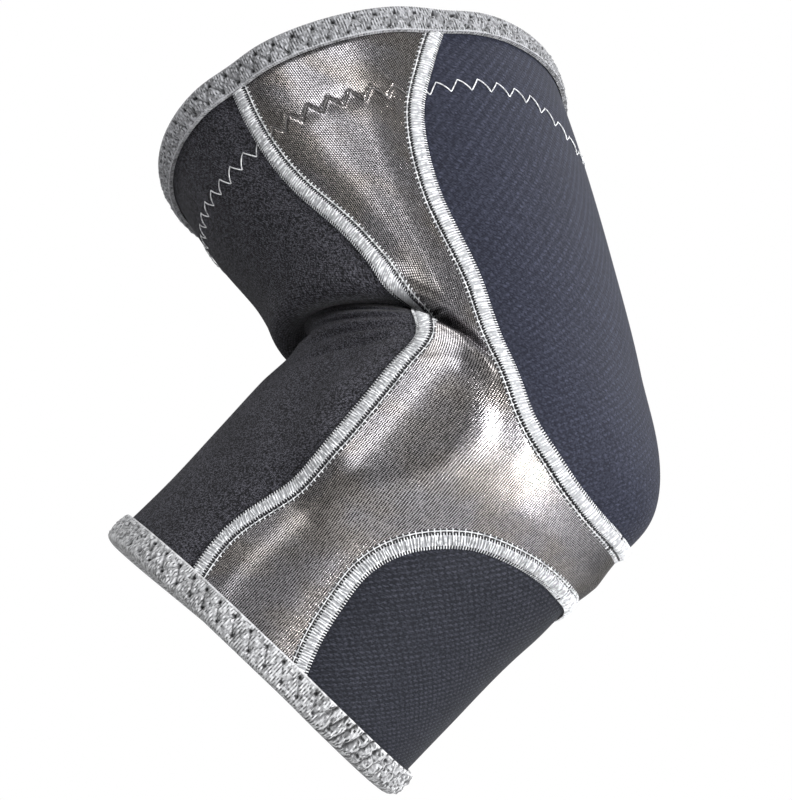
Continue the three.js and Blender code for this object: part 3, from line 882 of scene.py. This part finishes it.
# %% The tape's section
RIB_PITCH = 0.66 * MM
RIB_RISE = 0.07 * MM
ZIG_PITCH = 5.0 * MM
ZIG_HIGH = 4.7 * MM  # from the hem's edge, over the tape
ZIG_LOW = 1.1 * MM
PIT_DEPTH = 0.7 * MM
PIT_RADIUS = 0.7 * MM
PITS = ((0.5, ZIG_HIGH), (0.0, ZIG_LOW), (1.0, ZIG_LOW))  # share of the pitch, height
PULL_DEPTH = 0.55 * MM  # along the zigzag's legs
PULL_WIDTH = 0.45 * MM
TAPE_EDGES = (0.4 * MM, 0.5 * MM)
TAPE_ROWS = (18, 9, 5)  # over the face, round the fold, and over the lining
TAPE_PUFF = 0.35 * MM
PUFF_POWER = 0.7
CORD_PITCH = 3.1 * MM
CORD_RISE = 1.9 * MM
CORD_POWER = 0.7
CORD_LEVEL = 0.6
CORD_LEAN = 0.35
GATHERED_FROM = (0.74, 0.84)  # around, at the forearm
LOOSE_SHARE = 0.12  # of the gathering, at the front of the upper hem
LOOSE_TO = (0.2, 0.5)
# Each ripple: its pitch along and over the tape in millimetres, and where it starts.
RIPPLES = ((2.3, 1.4, 0.3), (3.7, -1.9, 1.9), (5.9, 2.7, 4.0), (1.7, 3.1, 2.2))
RIPPLE_RISE = 0.07 * MM


def tape_profile():
    """Distance over the cloth and height above it, from the outer edge round the fold"""
    inner = -WALL - PIECE_GAP - HEM_CLOTH
    top = PIECE_GAP + HEM_CLOTH
    outer = [(HEM_WIDTH * s, top) for s in np.linspace(1, 0, TAPE_ROWS[0])]
    turn = np.linspace(0, np.pi, TAPE_ROWS[1])
    middle, half = (top + inner) / 2, (top - inner) / 2
    fold = [(-top * math.sin(t), middle + half * math.cos(t)) for t in turn[1:-1]]
    lining = [(HEM_WIDTH * s, inner) for s in np.linspace(0, 1, TAPE_ROWS[2])]
    back = [(HEM_WIDTH, inner + HEM_CLOTH), (-PIECE_GAP, inner + HEM_CLOTH)]
    return outer + fold + lining + back + [(-PIECE_GAP, PIECE_GAP), (HEM_WIDTH, PIECE_GAP)]


TAPE = np.array(tape_profile())
TAPE_OUTER = 22  # rows of the section that show from outside


def zigzag_place(length, pitch, low, high):
    """The height of a zigzag at a length along it"""
    phase = (length / pitch) % 1
    return mix(low, high, 1 - np.abs(2 * phase - 1))


def hem_points(hem, around, distance, height):
    """Points round a hem, at a distance in from its edge and a height above the cloth"""
    along = np.full_like(around, float(hem))
    inwards = 1 if hem == 0 else -1
    down, _ = slopes(form_point, along, around)
    inside = along + np.maximum(0, distance) / np.linalg.norm(down, axis=-1) * inwards
    beyond = unit(inwards * down) * np.minimum(0, distance)[..., None]
    return cloth_point(inside, around, height) + beyond


def hem_lengths(hem, count):
    """Evenly spaced arounds round a hem, and the length at each"""
    none = np.zeros_like(ALL_ROUND)
    lengths = path_lengths(hem_points(hem, ALL_ROUND, none, none))
    even = np.linspace(0, lengths[-1], count + 1)
    return np.interp(even, lengths, ALL_ROUND), even, lengths[-1]


def gathered(hem, around):
    """How far the tape is gathered into cords, from 0 to 1"""
    w = from_front(around)
    return smooth(w, *GATHERED_FROM) if hem == 1 else LOOSE_SHARE * (1 - smooth(w, *LOOSE_TO))


def tape_rise(hem, around, length, distance, pitch):
    """The relief of the tape's outer face"""
    inside = smooth(distance, 0, TAPE_EDGES[0]) * smooth(HEM_WIDTH - distance, 0, TAPE_EDGES[1])
    puff = TAPE_PUFF * np.sin(np.pi * np.clip(distance / HEM_WIDTH, 0, 1)) ** PUFF_POWER
    line = zigzag_place(length, pitch, ZIG_LOW, ZIG_HIGH)
    pulled = bell((distance - line) / PULL_WIDTH) * PULL_DEPTH
    phase = (length / pitch) % 1
    pits = 0
    for centre, height in PITS:
        away = np.hypot((phase - centre) * pitch, distance - height)
        pits = pits + PIT_DEPTH * bell(away / PIT_RADIUS)
    ribs = RIB_RISE * np.cos(2 * np.pi * length / RIB_PITCH)
    for pitch_along, pitch_over, start in RIPPLES:
        turn = length / pitch_along + distance / pitch_over
        puff = puff + RIPPLE_RISE * np.sin(2 * np.pi * turn / MM + start)
    cords = np.abs(np.sin(np.pi * (length - CORD_LEAN * distance) / CORD_PITCH))
    cord_rise = CORD_RISE * (cords**CORD_POWER - CORD_LEVEL) * gathered(hem, around)
    return inside * (puff - pulled - pits + cord_rise) + ribs * smooth(distance, -1 * MM, 0)


# %% Making a binding
HEM_COLUMNS = 1500
HEM_THREAD = 0.14 * MM
HEM_DIP = np.array([-0.12, 0.02, 0.1, 0.1, 0.02, -0.12]) * MM


def make_hem(name, hem):
    around, length, total = hem_lengths(hem, HEM_COLUMNS)
    pitch = total / round(total / ZIG_PITCH)
    profile = np.vstack([TAPE, TAPE[:1]])
    arounds, distances = np.meshgrid(around, profile[:, 0], indexing="ij")
    lengths, heights = np.meshgrid(length, profile[:, 1], indexing="ij")
    outer = np.arange(len(profile)) < TAPE_OUTER
    rise = tape_rise(hem, arounds, lengths, distances, pitch) * outer
    points = hem_points(hem, arounds, distances, heights + rise)
    over = np.broadcast_to(path_lengths(profile), lengths.shape)
    piece = lay_grid(name, points, (lengths, over))
    activate(piece)
    edit(bpy.ops.mesh.remove_doubles, threshold=MERGE)
    edit(bpy.ops.mesh.normals_make_consistent, inside=False)
    bpy.ops.object.shade_smooth_by_angle(angle=SMOOTH_ANGLE)
    report(piece)
    return piece, pitch, total


def hem_threads(name, hem, pitch, total):
    """The zigzag that holds a binding, each leg dipping into the tape at its ends"""
    legs = round(total / pitch) * 2
    ends = np.arange(legs + 1) * pitch / 2
    dense, even, _ = hem_lengths(hem, len(ALL_ROUND) - 1)
    paths = []
    for start, end in zip(ends[:-1], ends[1:]):
        length = np.linspace(start, end, len(HEM_DIP))
        around = np.interp(length, even, dense)
        distance = zigzag_place(length, pitch, ZIG_LOW, ZIG_HIGH)
        rise = tape_rise(hem, around, length, distance, pitch)
        height = PIECE_GAP + HEM_CLOTH + rise + HEM_DIP
        paths.append(hem_points(hem, around, distance, height))
    return strands(name, paths, HEM_THREAD, 0)


upper_hem, upper_pitch, upper_total = make_hem("upper_binding", 0)
forearm_hem, forearm_pitch, forearm_total = make_hem("forearm_binding", 1)
upper_stitches = hem_threads("upper_binding_thread", 0, upper_pitch, upper_total)
forearm_stitches = hem_threads("forearm_binding_thread", 1, forearm_pitch, forearm_total)

# %% [markdown]
# ## The zigzag row below the upper binding
# A fine silver thread runs round the upper end in one zigzag, over every panel. It holds a
# band of silicone inside the real sleeve. Each leg is one strand that dips into the cloth where
# the needle went through. On the satin it cuts in, so those legs are a piece of their own, and
# their thread is painted almost black, as painted shade in the groove.

# %% The zigzag thread
ZIGZAG_THREAD = 0.15 * MM
NEEDLE_DIP = np.array([-0.2, 0.12, 0.24, 0.24, 0.12, -0.2]) * MM
SATIN_SPAN = (0.38, 0.66)  # around
GROOVE_FILLED = 0.8  # how far a thread fills its groove


def zigzag_row(name, over_satin):
    """The legs over the satin, where the thread cuts in and gets painted shade, or all others"""
    needle = np.linspace(0, ZIGZAG_LENGTHS[-1], 2 * ZIGZAGS + 1)
    paths = []
    for start, end in zip(needle[:-1], needle[1:]):
        length = np.linspace(start, end, len(NEEDLE_DIP))
        around = np.interp(length, ZIGZAG_LENGTHS, ALL_ROUND)
        middle = float(from_front(around.mean()))
        if (SATIN_SPAN[0] < middle < SATIN_SPAN[1]) != over_satin:
            continue
        down, _ = slopes(form_point, zigzag_along(around), around)
        along = zigzag_along(around) - zigzag_wave(length) / np.linalg.norm(down, axis=-1)
        height = NEEDLE_DIP + ZIGZAG_THREAD / 2 + GROOVE_FILLED * GROOVE_DEPTH * satin_under(around)
        paths.append(cloth_point(along, around, height))
    return strands(name, paths, ZIGZAG_THREAD, 1)


zigzag = zigzag_row("zigzag_thread", False)
satin_zigzag = zigzag_row("zigzag_thread_satin", True)

# %% [markdown]
# ## Finishes
# Every finish is worked out from the pieces' own UV maps, which are in metres, so a pitch in a
# material is the knit's real pitch. A small helper class keeps the node code short: each of
# its methods adds one node and returns its output.


# %% A helper for node materials
class Finish:
    """A material with a Principled shader, and short ways to add nodes to it"""

    def __init__(self, name, roughness, **constants):
        self.material = bpy.data.materials.new(name)
        self.material.use_nodes = True
        self.tree = self.material.node_tree
        self.shader = self.tree.nodes["Principled BSDF"]
        self.shader.inputs["Roughness"].default_value = roughness
        for key, value in constants.items():
            self.shader.inputs[key.replace("_", " ")].default_value = value

    def node(self, kind, inputs=(), **settings):
        node = self.tree.nodes.new(kind)
        for key, value in settings.items():
            setattr(node, key, value)
        for key, value in dict(inputs).items():
            self.feed(node.inputs[key], value)
        return node

    def feed(self, socket, value):
        if isinstance(value, bpy.types.NodeSocket):
            self.tree.links.new(value, socket)
        else:
            socket.default_value = value

    def calc(self, operation, *values):
        node = self.node("ShaderNodeMath", operation=operation)
        for socket, value in zip(node.inputs, values):
            self.feed(socket, value)
        return node.outputs[0]

    def uv(self):
        coordinates = self.node("ShaderNodeTexCoord").outputs["UV"]
        parts = self.node("ShaderNodeSeparateXYZ", {"Vector": coordinates})
        return coordinates, parts.outputs["X"], parts.outputs["Y"]

    def place(self):
        return self.node("ShaderNodeTexCoord").outputs["Object"]

    def times(self, first, second):
        return self.calc("MULTIPLY", first, second)

    def times_plus(self, first, second, third):
        return self.calc("MULTIPLY_ADD", first, second, third)

    def noise(self, vector, pitch, detail=2.0, roughness=0.5):
        inputs = {"Vector": vector, "Scale": 1 / pitch, "Detail": detail, "Roughness": roughness}
        return self.node("ShaderNodeTexNoise", inputs).outputs["Fac"]

    def loops(self, uv, width, height):
        """A random brightness for each loop of a knit"""
        scaled = self.node("ShaderNodeMapping", {"Vector": uv, "Scale": (1 / width, 1 / height, 1)})
        whole = self.node("ShaderNodeVectorMath", {"Vector": scaled.outputs[0]}, operation="FLOOR")
        inputs = {"Vector": whole.outputs[0]}
        return self.node("ShaderNodeTexWhiteNoise", inputs, noise_dimensions="2D").outputs["Value"]

    def wave(self, value, pitch):
        """From 0 to 1 and back once each pitch"""
        turn = self.times(value, 2 * math.pi / pitch)
        return self.times_plus(self.calc("SINE", turn), 0.5, 0.5)

    def step(self, value, low, high, start=0.0, end=1.0):
        inputs = {"Value": value, "From Min": low, "From Max": high, "To Min": start, "To Max": end}
        return self.node("ShaderNodeMapRange", inputs, interpolation_type="SMOOTHSTEP").outputs[0]

    def blend(self, share, first, second):
        node = self.node("ShaderNodeMix", data_type="RGBA")
        self.feed(node.inputs["Factor"], share)
        for socket, value in ((node.inputs[6], first), (node.inputs[7], second)):
            self.feed(socket, (*value, 1) if isinstance(value, tuple) else value)
        return node.outputs[2]

    def bump(self, height, distance, strength):
        inputs = {"Height": height, "Distance": distance, "Strength": strength}
        return self.node("ShaderNodeBump", inputs).outputs["Normal"]

    def set(self, socket, value):
        self.feed(self.shader.inputs[socket], value)


def dress(piece, finish):
    piece.data.materials.clear()
    piece.data.materials.append(finish.material)


# %% [markdown]
# ### Charcoal knit
# The front panel is a matte jersey over neoprene: tiny wales and courses that catch light in
# specks, a soft fuzz at grazing angles, and no gloss.

# %% Charcoal knit
WALE = 0.38 * MM
COURSE = 0.36 * MM
SPECK_SIZE = 0.7  # of a loop
SPECK_POWER = 1.8  # the higher, the rarer a bright loop is
CHARCOAL_PATCH = 12 * MM


def charcoal_knit():
    finish = Finish("charcoal_knit", 0.85, Specular_IOR_Level=0.15, Sheen_Weight=0.06)
    finish.set("Sheen Roughness", 0.4)
    uv, across, lengthwise = finish.uv()
    round_loop = finish.times(finish.wave(across, WALE), finish.wave(lengthwise, COURSE))
    specks = finish.loops(uv, WALE * SPECK_SIZE, COURSE * SPECK_SIZE)
    speck = finish.calc("POWER", specks, SPECK_POWER)
    patch = finish.noise(finish.place(), CHARCOAL_PATCH)
    light = finish.times(speck, finish.times_plus(round_loop, 0.7, 0.45))
    shade = finish.times(light, finish.step(patch, 0.2, 0.8, 0.8, 1.1))
    finish.set("Base Color", finish.blend(shade, (0.004, 0.004, 0.005), (0.13, 0.129, 0.156)))
    finish.set("Normal", finish.bump(finish.calc("ADD", speck, round_loop), 0.1 * MM, 0.6))
    return finish


# %% [markdown]
# ### Satin knit
# The satin's ribs run the length of the sleeve and its yarn is bright, so the panel is dark where
# it faces the viewer and flashes where it turns to a light. It is mostly metallic for that, with
# an anisotropic shine across the ribs, and a glitter of single loops that changes its colour
# and roughness from point to point.

# %% Satin knit
RIB = 0.53 * MM
FLOAT = 0.46 * MM
SATIN_SPECK_POWER = 2.2
SATIN_MOTTLE = 14 * MM


def satin_knit():
    finish = Finish("satin_knit", 0.26, Metallic=0.85, Specular_IOR_Level=0.5, Anisotropic=0.2)
    uv, across, lengthwise = finish.uv()
    ribs = finish.wave(across, RIB)
    floats = finish.wave(lengthwise, FLOAT)
    speck = finish.calc("POWER", finish.loops(uv, RIB / 2, FLOAT), SATIN_SPECK_POWER)
    mottle = finish.noise(uv, SATIN_MOTTLE)
    tops = finish.step(floats, 0.1, 0.7, 0.2, 1.0)
    lattice = finish.times(finish.step(ribs, 0.3, 0.7), tops)
    light = finish.times_plus(speck, 0.4, finish.times(lattice, 0.9))
    hue = finish.step(mottle, 0.35, 0.65)
    bright = finish.blend(hue, (0.49, 0.457, 0.438), (0.49, 0.476, 0.5))
    dark = finish.blend(hue, (0.006, 0.005, 0.004), (0.006, 0.005, 0.006))
    finish.set("Base Color", finish.blend(light, dark, bright))
    finish.set("Roughness", finish.step(light, 0.1, 0.9, 0.27, 0.2))
    finish.set("Normal", finish.bump(finish.calc("ADD", light, speck), 0.07 * MM, 0.32))
    tangent = finish.node("ShaderNodeTangent", direction_type="UV_MAP", uv_map="UVMap")
    finish.set("Tangent", tangent.outputs[0])
    return finish


# %% [markdown]
# ### Navy mesh
# The two back panels are a navy knit with rows of small raised dashes, lighter than the ground
# and leaning the same way, each row set half a pitch beside the last.

# %% Navy mesh
DASH_PITCH = 2.05 * MM
DASH_ROW = 1.02 * MM
DASH_LEAN = 0.35
DASH_LENGTH = (0.42, 0.22)  # where a dash ends and where it is full, in rows from its middle
DASH_WIDTH = (0.26, 0.12)  # the same across, in pitches
YARN_PITCH = 0.42 * MM
NAVY_PATCH = 10 * MM


def navy_mesh(name, ground, dash_colour, strength):
    finish = Finish(name, 0.76, Specular_IOR_Level=0.2, Sheen_Weight=0.05, Sheen_Roughness=0.35)
    uv, across, lengthwise = finish.uv()
    row = finish.calc("DIVIDE", lengthwise, DASH_ROW)
    index = finish.calc("FLOOR", row)
    within = finish.calc("SUBTRACT", finish.calc("FRACT", row), 0.5)
    shifted = finish.times_plus(index, 0.5, finish.calc("DIVIDE", across, DASH_PITCH))
    leaning = finish.times_plus(within, DASH_LEAN, shifted)
    beside = finish.calc("ABSOLUTE", finish.calc("SUBTRACT", finish.calc("FRACT", leaning), 0.5))
    long = finish.step(finish.calc("ABSOLUTE", within), *DASH_LENGTH)
    wide = finish.step(beside, *DASH_WIDTH)
    dash = finish.times(long, wide)
    yarn = finish.wave(finish.times_plus(across, 0.7, lengthwise), YARN_PITCH)
    speck = finish.calc("POWER", finish.loops(uv, WALE, COURSE), SPECK_POWER)
    fine = finish.times_plus(yarn, 0.1, finish.times(speck, 0.42))
    patch = finish.noise(finish.place(), NAVY_PATCH)
    bright = finish.times(dash, finish.step(patch, 0.3, 0.7, 0.6 * strength, strength))
    light = finish.times_plus(bright, finish.times_plus(speck, 0.7, 0.5), fine)
    finish.set("Base Color", finish.blend(light, ground, dash_colour))
    finish.set("Normal", finish.bump(finish.calc("ADD", dash, fine), 0.12 * MM, 0.6))
    return finish


# %% [markdown]
# ### Covering thread
# The seams are wound in a pale grey yarn. The strip under the threads is the same, and is
# painted almost black along its edges, as painted shade in the holes that the locking loops
# leave at each stitch.

# %% Covering thread
FIBRE = 0.5 * MM
YARN_PATCH = 1.1 * MM
STRIP_PATCH = 0.8 * MM
# From here out the strip's edge is painted almost black, as painted shade in the loops' holes.
STRIP_SHADE_EDGE = (1.12 * MM, 1.22 * MM)  # where the strip turns dark


def seam_thread(name, dark, pale):
    finish = Finish(name, 0.62, Specular_IOR_Level=0.35, Sheen_Weight=0.3)
    fibre = finish.noise(finish.place(), FIBRE, 3.0, 0.7)
    patch = finish.step(finish.noise(finish.place(), YARN_PATCH, 1.0), 0.36, 0.6)
    shade = finish.times_plus(patch, 0.6, finish.times_plus(fibre, 0.8, -0.1))
    finish.set("Base Color", finish.blend(shade, dark, pale))
    finish.set("Normal", finish.bump(fibre, 0.08 * MM, 0.5))
    return finish


def seam_strip():
    finish = Finish("seam_strip", 0.75, Specular_IOR_Level=0.3)
    uv, across, _ = finish.uv()
    # The strip's edges are painted almost black, as painted shade in the locking loops' holes.
    dark = finish.step(finish.calc("ABSOLUTE", across), *STRIP_SHADE_EDGE)
    patch = finish.noise(uv, STRIP_PATCH, 3.0, 0.7)
    pale = finish.blend(patch, (0.1, 0.102, 0.108), (0.5, 0.51, 0.53))
    finish.set("Base Color", finish.blend(dark, pale, (0.006, 0.006, 0.008)))
    finish.set("Normal", finish.bump(patch, 0.15 * MM, 0.6))
    return finish


# %% [markdown]
# ### Heather binding
# The tape is knitted from mixed grey yarns, so it is mottled in small flecks. Its stitch holes
# are painted near black, as painted shade, where the relief has its hollows: the same zigzag,
# from the same pitch. Between the forearm's cords the valleys get painted shade too, and a thin
# painted highlight runs along the tape's rolled edge over the cloth.

# %% Heather binding
FLECK = 0.6 * MM
CLOUD = 3.5 * MM
# The tape's rolled edge gets a painted highlight. Its stitch holes and the valleys between the
# forearm's cords get painted shade.
EDGE_HIGHLIGHT = (0.45 * MM, 0.2 * MM)  # the tape's selvedge, over the cloth
PIT_SHADE_CORE = 0.35  # of a pit's radius
VALLEY_SHADE = (0.6, 0.15)  # how low between the cords the tape is dark
VALLEY_SHADE_END = (0.13, 0.08)  # from the middle of the back, in shares of the girth


def heather_binding(name, pitch, light_grey, total=None):
    finish = Finish(name, 0.85, Specular_IOR_Level=0.25, Sheen_Weight=0.2)
    uv, length, over = finish.uv()
    flecks = finish.loops(uv, RIB_PITCH / 2, FLECK)
    clouds = finish.noise(uv, CLOUD)
    ribs = finish.wave(length, RIB_PITCH)
    shade = finish.times_plus(flecks, 0.9, finish.times_plus(ribs, 0.4, -0.33))
    shade = finish.times_plus(clouds, 0.35, shade)
    # A painted highlight lightens the tape along its rolled edge.
    shade = finish.calc("ADD", shade, finish.step(over, *EDGE_HIGHLIGHT, 0.0, 0.7))
    dark_grey = tuple(0.1 * c for c in light_grey)
    colour = finish.blend(shade, dark_grey, light_grey)
    phase = finish.calc("FRACT", finish.calc("DIVIDE", length, pitch))
    distance = finish.calc("SUBTRACT", HEM_WIDTH, over)
    pits = None
    # Each stitch hole gets painted shade, darkest at its middle.
    for centre, height in PITS:
        x = finish.times(finish.calc("SUBTRACT", phase, centre), pitch)
        y = finish.calc("SUBTRACT", distance, height)
        away = finish.calc("SQRT", finish.times_plus(x, x, finish.times(y, y)))
        pit_shade = finish.step(away, PIT_RADIUS, PIT_RADIUS * PIT_SHADE_CORE)
        pits = pit_shade if pits is None else finish.calc("MAXIMUM", pits, pit_shade)
    # The valleys between the forearm's cords get painted shade.
    if total:
        from_back = finish.calc("ABSOLUTE", finish.times_plus(length, 1 / total, -0.5))
        turn = finish.times_plus(distance, -CORD_LEAN, length)
        turn = finish.times(turn, math.pi / CORD_PITCH)
        cords = finish.step(finish.calc("ABSOLUTE", finish.calc("SINE", turn)), *VALLEY_SHADE)
        valley_shade = finish.times(cords, finish.step(from_back, *VALLEY_SHADE_END))
        pits = finish.calc("MAXIMUM", pits, finish.times(valley_shade, 0.9))
    # Stitch holes and cord valleys are painted near black, as painted shade.
    finish.set("Base Color", finish.blend(pits, colour, (0.02, 0.02, 0.022)))
    finish.set("Normal", finish.bump(shade, 0.16 * MM, 0.7))
    return finish


# %% The finishes
CHARCOAL = charcoal_knit()
SATIN = satin_knit()
NAVY = navy_mesh("navy_mesh", (0.006, 0.007, 0.014), (0.044, 0.049, 0.077), 0.4)
NAVY_DARK = navy_mesh("navy_mesh_forearm", (0.004, 0.005, 0.008), (0.037, 0.039, 0.053), 0.75)
THREAD_FINISH = seam_thread("seam_thread", (0.16, 0.165, 0.175), (0.76, 0.77, 0.79))
# The bindings' thread is painted darker than the seams' thread, as painted shade in the furrows
# that its legs pull.
TAPE_THREAD_SHADED = seam_thread("binding_thread", (0.04, 0.041, 0.043), (0.22, 0.225, 0.235))
# The zigzag's legs over the satin are painted dark, as painted shade in the groove they cut.
ZIGZAG_SHADE_THREAD = seam_thread("zigzag_painted_shade", (0.015, 0.014, 0.014), (0.12, 0.115, 0.115))
# The furrow strands are painted near black, as painted shade in the furrows beside the satin's
# cord.
FURROW_SHADE_FINISH = seam_thread("seam_furrow_shade", (0.006, 0.006, 0.007), (0.03, 0.03, 0.032))
UPPER_TAPE = heather_binding("heather_binding", upper_pitch, (0.36, 0.365, 0.385))
FOREARM_TAPE = heather_binding(
    "heather_binding_forearm", forearm_pitch, (0.54, 0.545, 0.56), forearm_total
)
# The seams' third finish is the furrows' painted shade.
SEAM_FINISHES = (seam_strip(), THREAD_FINISH, FURROW_SHADE_FINISH)  # strip, threads, furrows

# %% [markdown]
# ## What each piece is, and stands for
# One table dresses the pieces. Every piece rides on the brace's one body, and says which CAD
# solid it replaces and which finish of the record it has. The zigzag row has no solid.

# %% Dressing, riding and replacing
# Each row is a piece, its finish, its slot in the record, and the node that it replaces.
PIECES = [
    (front_panel, CHARCOAL, "charcoal_knit", "front_panel"),
    (elbow_panel, SATIN, "satin_knit", "elbow_panel"),
    (rear_panel, NAVY, "navy_mesh", "rear_panel"),
    (forearm_panel, NAVY_DARK, "navy_mesh", "forearm_panel"),
    (upper_hem, UPPER_TAPE, "heather_binding", "upper_hem"),
    (forearm_hem, FOREARM_TAPE, "heather_binding", "forearm_hem"),
    (upper_stitches, TAPE_THREAD_SHADED, "seam_thread", "upper_hem"),
    (forearm_stitches, TAPE_THREAD_SHADED, "seam_thread", "forearm_hem"),
    (zigzag, THREAD_FINISH, "seam_thread", None),
    (satin_zigzag, ZIGZAG_SHADE_THREAD, "seam_thread", None),
]
for node, parts in seams.items():
    for part, finish in zip(parts, SEAM_FINISHES):
        PIECES.append((part, finish, "seam_thread", node))
for piece, finish, slot, node in PIECES:
    dress(piece, finish)
    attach(piece, "root")
    if node:
        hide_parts(node)
print(len(PIECES), "pieces")

# %% [markdown]
# ## Sheets of cloth
# The four panels are sheets that are held stretched. Each one's flat size is measured on its
# own grid of places, and its area is that of the cut, which isn't a rectangle.


# %% The sheets and their flat sizes
def cloth_area(blocks):
    area = 0
    for along, around in blocks:
        points = cloth_point(along, around)
        cross = np.cross(points[1:, 1:] - points[:-1, :-1], points[1:, :-1] - points[:-1, 1:])
        area += np.linalg.norm(cross, axis=-1).sum() / 2
    return float(area)


def longest(blocks, axis):
    """The longest line along an axis through grids that share that axis's edges"""
    grids = [cloth_point(along, around) for along, around in blocks]
    lengths = [np.linalg.norm(np.diff(grid, axis=axis), axis=-1).sum(axis) for grid in grids]
    return float(max(np.max(row) for row in lengths) if axis else sum(lengths).max())


strip_width = 2 * (longest(side_blocks[1:2], 1) + longest(side_blocks[3:], 1))
SHEETS = [
    (front_panel, front_blocks, longest(front_blocks, 1), longest(front_blocks, 0)),
    (elbow_panel, side_blocks + other_side, strip_width, longest(side_blocks[:3], 0)),
    (rear_panel, rear_blocks, longest(rear_blocks, 1), longest(rear_blocks, 0)),
    (forearm_panel, forearm_blocks, longest(forearm_blocks, 1), longest(forearm_blocks, 0)),
]
for piece, blocks, width, length in SHEETS:
    area = cloth_area(blocks)
    print(piece.name, "is cut from", np.round([width, length], 3), "m, area", round(area, 5))

# %% [markdown]
# ## Studio
# The photograph is a plain cut-out, lit from large soft lights beside the sleeve, with little
# light from the front: that keeps the satin dark where it faces the camera. The floor is
# far below, because a worn sleeve hangs in the air.

# %% Camera
CAMERA_AZIMUTH = math.radians(20)
CAMERA_ELEVATION = math.radians(-25)
CAMERA_DISTANCE = 0.8
CAMERA_TARGET = np.array([-17 * MM, 0, 8 * MM])
LENS = 150  # millimetres, as is the sensor
SENSOR = 36
FARTHEST = 50


def look_at(thing, place, target):
    direction = target - place
    yaw = math.atan2(direction[1], direction[0]) - math.pi / 2
    pitch = math.atan2(direction[2], math.hypot(direction[0], direction[1]))
    thing.location = place
    thing.rotation_euler = (math.pi / 2 + pitch, 0, yaw)


level = math.cos(CAMERA_ELEVATION)
sideways, forwards = math.sin(CAMERA_AZIMUTH) * level, math.cos(CAMERA_AZIMUTH) * level
back = np.array([sideways, -forwards, math.sin(CAMERA_ELEVATION)])
camera_data = bpy.data.cameras.new("camera")
camera_data.lens = LENS
camera_data.sensor_width = SENSOR
camera_data.clip_end = FARTHEST
camera = bpy.data.objects.new("camera", camera_data)
bpy.context.collection.objects.link(camera)
look_at(camera, CAMERA_TARGET + back * CAMERA_DISTANCE, CAMERA_TARGET)
bpy.context.scene.camera = camera
bpy.context.scene.view_settings.view_transform = "Standard"

# %% Lights
right = unit(np.cross([0, 0, 1], back))
up = np.cross(back, right)
# Places are in metres from the target: to the camera's right, up, and towards the camera.
LIGHTS = [
    dict(name="key", right=-0.5, up=1.1, back=0.52, width=0.8, height=0.5, power=7.5),
    dict(name="left", right=-0.85, up=0.76, back=0.66, width=0.3, height=0.4, power=1.3),
    dict(name="top", right=-0.4, up=1.25, back=-0.3, width=1.0, height=0.6, power=9),
    dict(name="side", right=0.85, up=0.05, back=0.9, width=0.35, height=0.9, power=34),
    dict(name="low", right=0.15, up=-0.8, back=0.88, width=0.6, height=0.14, power=4),
    dict(name="rim", right=1.1, up=0.5, back=-0.5, width=0.6, height=0.8, power=12),
]
for row in LIGHTS:
    data = bpy.data.lights.new(row["name"], "AREA")
    data.shape = "RECTANGLE"
    data.size = row["width"]
    data.size_y = row["height"]
    data.energy = row["power"]
    lamp = bpy.data.objects.new(row["name"], data)
    bpy.context.collection.objects.link(lamp)
    place = CAMERA_TARGET + right * row["right"] + up * row["up"] + back * row["back"]
    look_at(lamp, place, CAMERA_TARGET)

# %% World and floor
WORLD_LIGHT = 0.2
WORLD_SEEN = 1.0
world = bpy.data.worlds.new("studio")
bpy.context.scene.world = world
world.use_nodes = True
tree = world.node_tree
ground = tree.nodes["Background"]
ground.inputs["Color"].default_value = (1, 1, 1, 1)
path = tree.nodes.new("ShaderNodeLightPath")
levels = tree.nodes.new("ShaderNodeMapRange")
levels.inputs["To Min"].default_value = WORLD_LIGHT
levels.inputs["To Max"].default_value = WORLD_SEEN
tree.links.new(path.outputs["Is Camera Ray"], levels.inputs["Value"])
tree.links.new(levels.outputs[0], ground.inputs["Strength"])

FLOOR_DEPTH = 0.5
FLOOR_SIZE = 6
FLOOR_SPECKLE = 0.4
deselect_all()
bpy.ops.mesh.primitive_plane_add(size=FLOOR_SIZE, location=(0, 0, -FLOOR_DEPTH))
floor = bpy.context.active_object
floor.name = "floor"
floor.data.transform(floor.matrix_world)
floor.location = (0, 0, 0)
FLOOR_FINISH = Finish("floor", 0.9)
speckle = FLOOR_FINISH.noise(FLOOR_FINISH.place(), FLOOR_SPECKLE)
FLOOR_FINISH.set("Base Color", FLOOR_FINISH.blend(speckle, (0.8, 0.8, 0.8), (0.84, 0.84, 0.84)))
dress(floor, FLOOR_FINISH)
